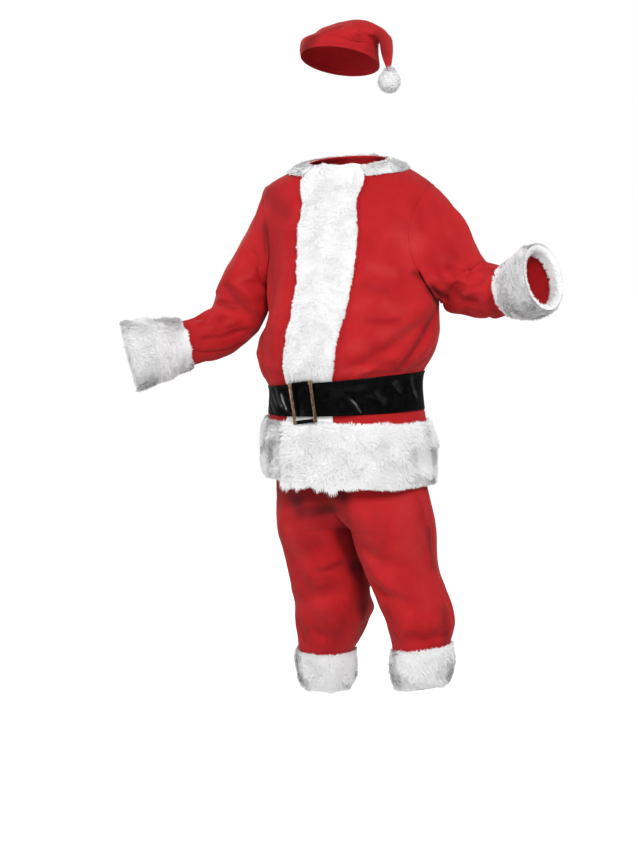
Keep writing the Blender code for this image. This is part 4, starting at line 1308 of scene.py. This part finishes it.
sleeveCreases = {
    "left": (
        (87, 0.204, 117, 0.661, 6, -4.5, 2), (61, 0.14, 74, 0.514, 7, 4, 5),
        (41, 0.088, 14, 0.369, 9, -6, 2), (53, 0.215, 28, 0.605, 10, -3.5, 4),
        (76, 0.116, 114, 0.218, 12, 3.5, 4), (74, 0.44, 92, 0.62, 7.2, 3.4, 8),
        (58, 0.46, 76, 0.64, 7.2, -3, 8), (40, 0.44, 58, 0.62, 7.7, 3, 6),
        (20, 0.4, 36, 0.62, 8.3, -3.4, 4), (84, 0.56, 96, 0.69, 6.6, 2.5, 3),
        (30, 0.56, 46, 0.69, 6.6, 2.5, 0), (66, 0.06, 120, 0.24, 13.2, 3, 12),
        (84, 0.04, 132, 0.18, 11, -2.7, 10), (58, 0.16, 96, 0.32, 11, -3, 10),
        (140, 0.1, 176, 0.3, 13, 3.4, 10), (10, 0.12, 44, 0.3, 11, -4.5, 8),
        (330, 0.16, 18, 0.34, 11, 4.5, 8), (280, 0.3, 330, 0.46, 11, -4.5, 8),
        (250, 0.36, 300, 0.54, 10, 4.5, 8), (200, 0.5, 250, 0.66, 9, 3.6, 4),
        (310, 0.48, 350, 0.66, 8, -4, 4), (210, 0.08, 262, 0.26, 12, 3.6, 10),
        (180, 0.42, 210, 0.56, 10, -3, 4),
    ),
    "right": (
        (125, 0.337, 32, 0.419, 8, -6, 4), (137, 0.474, 72, 0.431, 6, -4, 3),
        (95, 0.333, 60, 0.24, 8, 4, 2), (68, 0.646, 23, 0.469, 6, -3.6, 4),
        (40, 0.687, 354, 0.508, 6, -3.6, 4), (93, 0.634, 53, 0.489, 7, 3.2, 3),
        (150, 0.46, 96, 0.62, 7.7, -3.7, 10), (140, 0.51, 88, 0.66, 7.7, 3.6, 8),
        (104, 0.5, 52, 0.62, 7.2, 3.4, 6), (124, 0.58, 84, 0.69, 6.6, -2.7, 4),
        (72, 0.56, 40, 0.68, 6.6, -2.7, 2), (150, 0.6, 120, 0.69, 6.6, 2.5, 0),
        (74, 0.08, 126, 0.26, 13.2, 3, 12), (60, 0.16, 100, 0.34, 12.1, -2.9, 10),
        (130, 0.12, 160, 0.3, 14.3, -2.4, 8), (340, 0.2, 30, 0.36, 11, 4.2, 8),
        (290, 0.3, 340, 0.46, 10, -4.5, 8), (250, 0.36, 310, 0.52, 10, 4.5, 8),
        (200, 0.44, 250, 0.6, 9, -4, 6), (300, 0.5, 350, 0.66, 8, 4, 4),
        (210, 0.08, 262, 0.28, 12, 3.6, 10), (180, 0.5, 214, 0.66, 8, 3.6, 4),
    ),
}


def sleeveRise(side, name, points, u, v, settings):
    rise = creaseHeight(sleeveCreases[name], u, v, radii["sleeve"], settings["length"])
    rise = rise + waves(points, settings, (21 + side, 31 + side))
    rise = rise * ease((v - 0.02) / 0.08) * ease((cuffFrom - 0.004 - v) / 0.05)
    atTop = near(u - math.pi, 1.1)
    # rounds the shoulder just past its seam
    filled = settings["shoulderFill"] * np.exp(-(((v - 0.042) / 0.034) ** 2))
    gathers = settings["gatherDepth"] * np.sin(u * 46 + 2 * np.sin(u * 5))
    # the armhole seam, below the shoulder
    seam = near(v, 0.03) * (1 - atTop) * (gathers - settings["seamDepth"])
    underSeam = near(fromFront(u), 0.08) * ease((cuffFrom - v) / 0.04)  # along the underside
    return rise + filled * atTop + seam - settings["underSeamDepth"] * underSeam


def buildSleeves(settings):
    made = {}
    t = np.linspace(0, 1, settings["rows"])
    parts = (t * 0.55 + 0.45 * t**1.4) * settings["shortOfRim"]  # rows are closer near the armhole
    turns = np.linspace(0, math.tau, settings["columns"] + 1)[:-1]
    u, v = np.meshgrid(turns, parts)
    for side, name in sides:
        points = sleeve(side, name)(u, v)
        rise = sleeveRise(side, name, points, u, v, settings)
        made[name] = layCloth(f"{name}Sleeve", f"sleeve_{name}", points, rise, around=True)
    print("sleeves laid")
    return made


sleevePieces = buildSleeves(sleeveSettings)

trouserSettings = {
    "softWaves": 0.0030,
    "softSize": 0.11,
    "fineWaves": 0.0008,
    "fineSize": 0.030,
    "columns": 58,
    "seamGap": 0.2 * legGap,  # as a turn
    "waistbandHeight": 0.034,
    "waistbandGathers": 60,
    "gatherDepth": 0.0008,
}

legCreases = {
    "left": (
        (355, -0.955, 0, -1.088, 10, -4, 6), (63, -0.752, 89, -0.885, 16, 2.4, 3),
        (35, -0.749, 41, -0.887, 18, 2.6, 3), (96, -0.745, 116, -0.9, 18.7, -2.8, 10),
        (74, -0.75, 86, -0.9, 21.3, 2, 6), (34, -0.76, 14, -0.9, 15, -2.8, 10),
        (22, -0.84, 358, -0.96, 13.7, 2.5, 8), (126, -0.87, 96, -0.985, 15, 2.5, 10),
        (140, -0.93, 100, -1.03, 15, -2.8, 10), (60, -0.9, 52, -1.03, 20, -1.9, 8),
        (30, -0.96, 66, -1.06, 13.7, 2.8, 10), (10, -1, 60, -1.082, 11.2, -2.8, 10),
        (90, -1.04, 40, -1.094, 10, 2.3, 6), (130, -1.03, 84, -1.09, 11.2, -2.5, 8),
        (150, -1.05, 120, -1.098, 10, 2.2, 4), (340, -0.99, 20, -1.07, 12.5, 2.5, 6),
        (200, -0.95, 260, -1.01, 15, 3, 12), (206, -0.99, 276, -1.05, 13.7, -3, 12),
        (220, -1.04, 290, -1.088, 11.2, 2.6, 10), (230, -0.8, 256, -0.9, 18.7, 2.2, 8),
        (200, -0.85, 236, -0.96, 17.5, -2.5, 10), (290, -0.82, 316, -0.96, 18.7, -2.2, 10),
    ),
    "right": (
        (104, -0.928, 142, -0.909, 6, -4, 3), (76, -0.966, 115, -0.954, 6, 3, 3),
        (79, -0.786, 115, -0.768, 9, -4.5, -6), (151, -0.829, 159, -0.956, 14, -6, 3),
        (53, -1.074, 71, -1.128, 7, -3.4, 2), (62, -0.742, 88, -0.85, 13.7, -4.2, 8),
        (84, -0.742, 110, -0.82, 13.7, 3, 6), (146, -0.9, 158, -1.06, 22.5, -4.2, 6),
        (60, -0.86, 92, -0.99, 15, -2.8, 10), (44, -0.9, 70, -1.02, 15, 2.8, 10),
        (104, -0.99, 132, -1.09, 11.2, 2.9, 8), (122, -1, 144, -1.11, 11.2, -3.1, 6),
        (86, -1.02, 104, -1.116, 10.6, -2.7, 6), (60, -1.04, 92, -1.11, 10, 2.7, 6),
        (40, -1.06, 76, -1.128, 10, -2.5, 6), (150, -1.06, 176, -1.12, 11.2, 2.5, 4),
        (20, -0.98, 50, -1.08, 12.5, -2.7, 8), (200, -0.95, 260, -1.01, 15, 3.3, 12),
        (206, -0.99, 276, -1.05, 13.7, -3.3, 12), (220, -1.04, 290, -1.1, 11.2, 2.9, 10),
        (230, -0.8, 256, -0.9, 18.7, 2.4, 8), (200, -0.85, 236, -0.96, 17.5, -2.7, 10),
        (290, -0.82, 316, -0.96, 18.7, -2.4, 10),
    ),
}


def legRise(side, name, points, turns, heights, middle, settings):
    # creases and waves are free between the hem band and the cuff, and calm at the middle seam
    cuffTop = legEnds[name] + legCuff
    rise = creaseHeight(legCreases[name], turns, heights, radii["leg"])
    rise = rise + waves(points, settings, (41 + side, 51 + side))
    free = ease((-0.735 - heights) / 0.04) * ease((heights - cuffTop - 0.004) / 0.03)
    return rise * free * (1 - 0.8 * near(middle, 0.35) * ease((heights + 0.95) / 0.08))


def buildWaistband(settings):
    # drawn in by its elastic, in small gathers that fade at both edges
    low = waistTop - settings["waistbandHeight"]
    u, v = np.meshgrid(np.linspace(0, math.tau, 181)[:-1], np.linspace(waistTop, low, 8))
    atEdges = near(np.minimum(np.abs(v - waistTop), np.abs(v - low)), 0.004)
    gathers = np.sin(settings["waistbandGathers"] * u) * (1 - atEdges) - 1
    rise = settings["gatherDepth"] * gathers
    return layCloth("waistband", "trouser_waistband", waist(u, v), rise, around=True)


def buildTrousers(settings):
    made = {}
    gap = settings["seamGap"]
    for side, name in sides:
        surface = leg(side, name)
        foot = legEnds[name]
        # rows are closer near the crotch
        rise = riseTop - (riseTop - crotch) * np.sin(np.linspace(0, math.pi / 2, 26))
        v = np.concatenate([
            np.linspace(waistTop, riseTop, 26)[:-1], rise,
            np.linspace(crotch, foot + legCuff, 60)[1:-1],
            np.linspace(foot + legCuff, foot + 0.006, 14),
        ])
        end = lastTurn(v) - gap + 0.010 * ease((v - crotch) / 0.02)
        for part, first, last in (
            ("Front", 0 * v + gap, end),
            ("Back", math.tau - end, 0 * v + math.tau - gap),
        ):
            turns = between(first, last, settings["columns"])
            heights = v[:, None] + 0 * turns
            points = surface(turns, heights)
            seams = np.minimum(np.abs(turns - first[:, None]), np.abs(turns - last[:, None]))
            middle = np.abs(turns - (last if part == "Front" else first)[:, None])
            up = legRise(side, name, points, turns, heights, middle, settings)
            up = up + (1 - near(middle, 0.3)) * seamRise(seams, heights, jacketSettings)
            made[f"{name}Leg{part}"] = layCloth(
                f"{name}Leg{part}", f"trouser_{part.lower()}_{name}", points, up
            )
    made["waistband"] = buildWaistband(settings)
    print("trousers laid")
    return made


trouserPieces = buildTrousers(trouserSettings)

hatSettings = {
    "length": 0.34,
    "softWaves": 0.0020,
    "softSize": 0.060,
    "fineWaves": 0.0007,
    "fineSize": 0.022,
    "columns": 112,
    "rows": 96,
    "hemAt": 0.052,
    "hemThick": 0.0004,
    "stitchDepth": 0.0010,
    "seamDepth": 0.0010,
}

hatCreases = (
    (60, 0.22, 118, 0.34, 9, 3.6, 10), (70, 0.34, 124, 0.46, 8, -3.4, 10),
    (48, 0.42, 96, 0.52, 7.5, 3.4, 6), (84, 0.5, 130, 0.62, 6.5, -3, 6),
    (40, 0.58, 92, 0.68, 5.5, 2.6, 4), (78, 0.66, 130, 0.76, 5, -2.4, 4),
    (130, 0.28, 176, 0.4, 9, -3.4, 8), (240, 0.22, 300, 0.36, 9, 3.6, 10),
    (230, 0.36, 290, 0.48, 8, -3.4, 8), (260, 0.48, 310, 0.6, 6.5, 3, 6),
    (240, 0.6, 290, 0.72, 5.5, -2.6, 4), (60, 0.8, 110, 0.9, 4.5, 1.8, 2),
    (250, 0.78, 300, 0.9, 4.5, 1.8, 2),
)


def buildHat(settings):
    turns = np.linspace(0, math.tau, settings["columns"] + 1)[:-1]
    u, v = np.meshgrid(turns, np.linspace(0, 1, settings["rows"]))
    points = hat(u, v)
    rise = creaseHeight(hatCreases, u, v, radii["hat"], settings["length"])
    rise = rise + waves(points, settings, (61, 62))
    rise = rise * ease((v - 0.05) / 0.06) * ease((1 - v) / 0.25)
    turned = ease((settings["hemAt"] - v) / 0.008)  # the edge is turned up inside and stitched
    stitched = np.exp(-(((v - settings["hemAt"]) / 0.006) ** 2))
    rise = rise + settings["hemThick"] * (turned + stitched * np.sin(u * 60))
    rise = rise - settings["stitchDepth"] * stitched
    for seam in (math.radians(90), math.radians(270)):
        rise = rise - settings["seamDepth"] * near(u - seam, 0.05) * ease((1 - v) / 0.2)
    normals = gridNormals(points, True)
    bm = layGrid(points + normals * rise[..., None], normals, True)
    tipAt = Vector(points[-1].mean(axis=0))
    rim = [e for e in bm.edges if e.is_boundary and (e.verts[0].co - tipAt).length < 0.03]
    bmesh.ops.edgeloop_fill(bm, edges=rim)
    # painted shade in the hat's folds, with the nap's tone, from the spots
    addNapShadeSheen(bm)
    piece = keep("hatCrown", bm, velour, "hat_crown", "red velour", clothThick)
    print("hat laid")
    return piece


hatPiece = buildHat(hatSettings)

pompomSettings = {
    "at": pompomSize["at"],
    "radius": pompomSize["radius"],
    "locks": 9000,
    "core": 0.80,  # the parts are shares of the radius
    "lumps": 0.05,
    "rootsAt": 0.78,
    "lockLength": (0.22, 0.36),
    "lockWidth": (0.0009, 0.0018),
    # painted shade: the core is a little darker than the lock tips
    "backShadeTone": 0.8,
    "stand": 1.2,
    "hug": 0.5,
}


def buildPompom(settings):
    rng = np.random.default_rng(71)
    size, at = settings["radius"], np.array(settings["at"])
    bm = bmesh.new()
    bmesh.ops.create_icosphere(bm, subdivisions=4, radius=size * settings["core"])
    ways = unit(np.array([v.co for v in bm.verts]))
    lumps = settings["lumps"] * softNoise(ways * size, 0.012, 72)
    for vert, place in zip(bm.verts, ways * size * (settings["core"] + lumps)[:, None] + at):
        vert.co = place
    markPile(bm, settings["backShadeTone"])
    count = settings["locks"]
    ways = unit(rng.normal(size=(count, 3)))
    combs = rng.normal(size=(count, 3))
    combs = unit(combs - ways * np.sum(combs * ways, axis=-1)[:, None])
    nearTop = ease((ways[:, 2] - 0.86) / 0.12)  # here the pile stands up round the hat's tip
    combs = unit(combs + (settings["stand"] * nearTop)[:, None] * ways)
    roots = ways * size * settings["rootsAt"] + at
    lengths = size * rng.uniform(*settings["lockLength"], count) * (1 + settings["hug"] * nearTop)
    widths = rng.uniform(*settings["lockWidth"], count)
    addLocks(bm, roots, ways, combs, lengths, widths, rng)
    piece = keep("pompom", bm, plushPile, "hat_pompom", "white plush")
    softenShading(piece)
    print("pompom rolled")
    return piece


pompomPiece = buildPompom(pompomSettings)

bandSettings = {
    "inset": 0.0045,
    "hemGap": 0.008,  # where the hem band's ends meet, as a turn
    "neckGap": 0.012,  # between the neck band and the front band, as a turn
    "hem": {"count": 44000, "deep": pileDepth["full"], "tufts": 0.12},
    "front": {"count": 23000, "deep": pileDepth["front"], "longer": 0.72, "edges": "sides"},
    "neck": {"count": 7500, "deep": pileDepth["neck"], "longer": 0.62},
    "cuff": {"count": 15000, "deep": pileDepth["full"], "around": True},
    "leg": {"count": 11500, "deep": pileDepth["leg"], "around": True},
    "cuffCombs": {"left": (0.85, -0.30, 0.25), "right": (-0.80, -0.55, -0.22)},
}


def buildJacketBands(settings):
    made = {}
    inset = settings["inset"]
    v = np.linspace(bodyFoot + inset, hemTop - inset, 28)
    edge = np.radians(along(closing, v)[0])
    turns = between(edge, edge + math.tau - settings["hemGap"], 250)
    points = body(turns, v[:, None] + 0 * turns)
    made["hem"] = layPlush("hemBand", "hem_trim", points, seed=101, **settings["hem"])

    v = np.linspace(hemTop, bodyNeck - inset, 120)
    edge, band = np.radians(along(closing, v))
    inwards = inset / radii["body"]
    turns = between(edge + inwards, band - inwards, 26)
    heights = v[:, None] + 0 * turns
    pressed = np.exp(-(((heights - beltSize["height"]) / 0.050) ** 6))  # under the belt
    made["front"] = layPlush(
        "frontBand", "front_trim", body(turns, heights), seed=111, pressed=pressed,
        **settings["front"],
    )

    v = np.linspace(0.010 + inset * 0.6, bodyNeck - inset * 0.6, 9)
    edge, band = np.radians(along(closing, v))
    gap = settings["neckGap"]
    turns = between(band + gap, edge + math.tau - gap, 110)
    points = body(turns, v[:, None] + 0 * turns)
    made["neck"] = layPlush("neckBand", "neck_trim", points, seed=121, **settings["neck"])
    return made


def buildBands(settings):
    made = buildJacketBands(settings)
    inset = settings["inset"]
    around = np.linspace(0, math.tau, 97)[:-1]
    for side, name in sides:
        surface = sleeve(side, name)
        u, v = np.meshgrid(around, np.linspace(cuffFrom + inset * 1.6, 1 - inset * 0.4, 22))
        made[f"{name}Cuff"] = layPlush(
            f"{name}CuffBand", f"cuff_trim_{name}", surface(u, v), seed=131 + side,
            comb=settings["cuffCombs"][name],
            turnedIn=rimStrip(surface, around, 1.0, 0.93, 7), **settings["cuff"],
        )
    for side, name in sides:
        foot = legEnds[name]
        surface = leg(side, name)
        u, v = np.meshgrid(around, np.linspace(foot + legCuff - inset, foot + inset * 0.5, 20))
        made[f"{name}Leg"] = layPlush(
            f"{name}LegBand", f"trouser_cuff_{name}", surface(u, v), seed=151 + side,
            turnedIn=rimStrip(surface, around, foot, foot + 0.022, 6), **settings["leg"],
        )
    print("plush bands laid")
    return made


bandPieces = buildBands(bandSettings)

beltSettings = {
    "columns": (112, 118, 132),  # between these turns, so that they are closest at the folds
    "turns": (-66.0, -20.0, 96.0),
    "rows": 27,
    "softWaves": 0.0010,
    "softSize": 0.034,
    "fineWaves": 0.0004,
    "fineSize": 0.012,
    "weltIn": 0.005,
    "weltWidth": 0.0011,
    "strapWelt": 0.0005,
    "tongueWelt": 0.0004,
    "shine": 0.018,
    "foldShine": 420,
    "curlShine": 0.95,
    "tongueTurns": (-10.0, 22.5),
    "tongueSlant": 0.19,
    "tongueCorner": 0.016,
    "tongueCurl": 0.0046,
    "curlReach": 0.012,
    "tongueRise": 0.0005,
    "tongueThick": 0.0014,
}

beltCreases = (
    (-58, 0.028, -44, -0.026, 5, 2.2, 4), (-52, 0.034, -40, -0.012, 4, -2, 3),
    (-66, 0.03, -56, -0.03, 5, -2.4, 4), (-76, 0.02, -64, -0.034, 5, 2.4, 2),
    (-44, 0.02, -36, -0.034, 3.6, 1.8, 2), (36, 0.022, 44, -0.014, 6, 1.6, 3),
    (52, 0.034, 62, -0.006, 6, -1.8, 4), (70, 0.026, 82, -0.03, 6, 2, 4),
    (96, 0.03, 104, -0.03, 6, -2, 4), (120, 0.026, 132, -0.026, 7, 1.8, 4),
    (150, 0.032, 158, -0.03, 7, -1.8, 4), (178, 0.026, 188, -0.024, 7, 1.8, 4),
    (206, 0.03, 214, -0.03, 7, -1.8, 4), (236, 0.026, 246, -0.026, 7, 2, 4),
    (262, 0.03, 272, -0.03, 6, -2, 4),
)

# Sharp folds in the vinyl, where it shines
beltFolds = (
    (-57, 0.022, -43, -0.03, 2.8, 3.2, 3), (-55, 0.032, -36, -0.014, 2.4, 3, 3),
    (-43, 0.036, -28, -0.02, 2.6, 3.2, 4), (-33, 0.024, -25, -0.028, 2.4, 2.8, 2),
    (40, 0.01, 49, -0.026, 3.2, 1.2, 2), (54, 0.026, 64, -0.006, 3.5, 1.4, 2),
    (72, 0.034, 82, -0.026, 3, 2, 2), (108, 0.03, 118, -0.024, 4.6, 1.4, 4),
    (152, 0.026, 166, -0.03, 6.2, 1.2, 6), (204, 0.032, 214, -0.024, 5.8, 1.2, 6),
    (250, 0.028, 262, -0.03, 6, 1.2, 6),
)


def welt(across, half):
    # a pressed line inside each long edge
    away = half - beltSettings["weltIn"] - np.abs(across)
    return np.exp(-((away / beltSettings["weltWidth"]) ** 2))


def beltRise(turn, across, settings):
    # crumpled at the sides and behind, and calm under the buckle and the tongue
    rise = creaseHeight(beltCreases + beltFolds, turn, across, radii["belt"])
    # an oval like the belt's
    point = np.stack([np.sin(turn) * 0.18, np.cos(turn) * 0.16, across], -1)
    rise = rise + waves(point, settings, (81, 82))
    calm = ease((np.abs(fromFront(turn) - math.radians(2)) - 0.24) / 0.10)
    pressed = settings["strapWelt"] * welt(across, beltSize["half"])
    return (rise - 0.0012) * calm * 0.8 - pressed


def buildStrap(settings):
    a, b, c = settings["turns"]
    turns = np.radians(np.concatenate([
        np.linspace(start, end, count + 1)[:-1]
        for start, end, count in zip((a, b, c), (b, c, a + 360), settings["columns"])
    ]))
    half, thick = beltSize["half"], beltSize["thick"]
    u, w = np.meshgrid(turns, np.linspace(-half, half, settings["rows"]))
    inside = beltFace(u, w)
    normals = gridNormals(inside, True)
    rise = np.maximum(beltRise(u, w, settings), -0.0009)  # never through the strap's inside
    folds = np.abs(creaseHeight(beltFolds, u, w, radii["belt"]))
    shine = np.clip(settings["shine"] + settings["foldShine"] * folds, 0, 1)
    outer = inside + normals * (thick + rise)[..., None]
    bm = layGrid(outer, normals, True, {"shine": shine})
    return keep("beltStrap", bm, vinyl, "belt_strap", "black vinyl", thick * 0.9)


def buildTongue(settings):
    # the free end lies on the strap, with round corners and one of them curled up
    half = beltSize["half"]
    first, last = (math.radians(turn) for turn in settings["tongueTurns"])
    t = 1 - (1 - np.linspace(0, 1, 64)) ** 1.5  # columns are closer at the free end
    left = (1 - t) * (last - first) * radii["body"]
    corner = settings["tongueCorner"]
    cut = 1 - np.clip(left / corner, 0, 1)
    width = half * 0.985 - corner * (1 - np.sqrt(1 - 0.985 * cut**2))
    w = np.linspace(-1, 1, 16)[:, None] * width[None, :]
    ends = last - settings["tongueSlant"] * w / half
    inside = beltFace(first + (ends - first) * t[None, :], w)
    normals = gridNormals(inside)
    curled = ease((settings["curlReach"] - left) / settings["curlReach"])[None, :]
    curled = curled * ease((0.35 - w / half) / 1.2)
    up = beltSize["thick"] + settings["tongueRise"] + settings["tongueThick"]
    up = up + settings["tongueCurl"] * curled - settings["tongueWelt"] * welt(w, width[None, :])
    shine = settings["curlShine"] * np.exp(-(((curled - 0.5) / 0.17) ** 2))
    outer = inside + normals * up[..., None]
    bm = layGrid(outer, normals, tones={"shine": settings["shine"] + shine})
    return keep("beltTongue", bm, vinyl, None, "black vinyl", settings["tongueThick"])


beltPieces = {"strap": buildStrap(beltSettings), "tongue": buildTongue(beltSettings)}
print("belt laid")

buckleSettings = {"edgeRound": 0.0013, "rise": 0.0052, "sharpFrom": 0.9}


def buckleFrame(size):
    # the buckle's middle on the belt, and its directions sideways, up and outwards
    e, turn = 1e-3, math.radians(size["turn"])
    turns = turn + np.array([0, -e, e, 0, 0])
    centre, a, b, c, d = beltFace(turns, np.array([-size["drop"], 0, 0, -e, e]))
    out = np.cross(b - a, d - c)
    out = unit(out if out[1] < 0 else -out)
    up = unit(np.array([0.0, 0.0, 1.0]) - out * out[2])
    side = np.cross(up, out)
    up = unit(up - size["slant"] * side)
    side = unit(side - up * (side @ up))
    return centre, side, up, out


def buildBuckle(size, settings):
    centre, side, up, out = buckleFrame(size)
    bm = bmesh.new()
    bmesh.ops.create_grid(bm, x_segments=1, y_segments=1, size=0.5)
    bmesh.ops.scale(bm, vec=(size["width"], size["tall"], 1), verts=bm.verts)
    bmesh.ops.inset_region(
        bm, faces=bm.faces[:], thickness=size["bar"], use_boundary=True, use_even_offset=True
    )
    middle = min(bm.faces, key=lambda f: f.calc_center_median().length)
    bmesh.ops.delete(bm, geom=[middle], context="FACES")
    raised = bmesh.ops.extrude_face_region(bm, geom=bm.faces[:])
    lifted = [v for v in raised["geom"] if isinstance(v, bmesh.types.BMVert)]
    bmesh.ops.translate(bm, verts=lifted, vec=(0, 0, size["thick"]))
    bmesh.ops.recalc_face_normals(bm, faces=bm.faces)
    joined = [e for e in bm.edges if len(e.link_faces) == 2]
    sharp = [e for e in joined if e.calc_face_angle() > settings["sharpFrom"]]
    bmesh.ops.bevel(
        bm, geom=sharp, affect="EDGES", offset=settings["edgeRound"], segments=3,
        profile=0.5, material=-1,
    )
    # the upper and lower bars between the two side bars take the black vinyl
    window = size["width"] / 2 - size["bar"] - settings["edgeRound"]
    for at in (-window, window):
        everything = bm.verts[:] + bm.edges[:] + bm.faces[:]
        bmesh.ops.bisect_plane(bm, geom=everything, plane_co=(at, 0, 0), plane_no=(1, 0, 0))
    for face in bm.faces:
        face.material_index = int(abs(face.calc_center_median().x) < window)
    place = Matrix(np.stack([side, up, out, centre], 1).tolist() + [(0, 0, 0, 1)])
    rise = beltSize["thick"] + settings["rise"]
    bmesh.ops.transform(bm, matrix=place @ Matrix.Translation((0, 0, rise)), verts=bm.verts)
    piece = keep("buckleFrame", bm, bronze, "belt_buckle", "bronze metal")
    piece.data.materials.append(vinyl)
    print("buckle made")
    return piece


buildBuckle(buckleSize, buckleSettings)
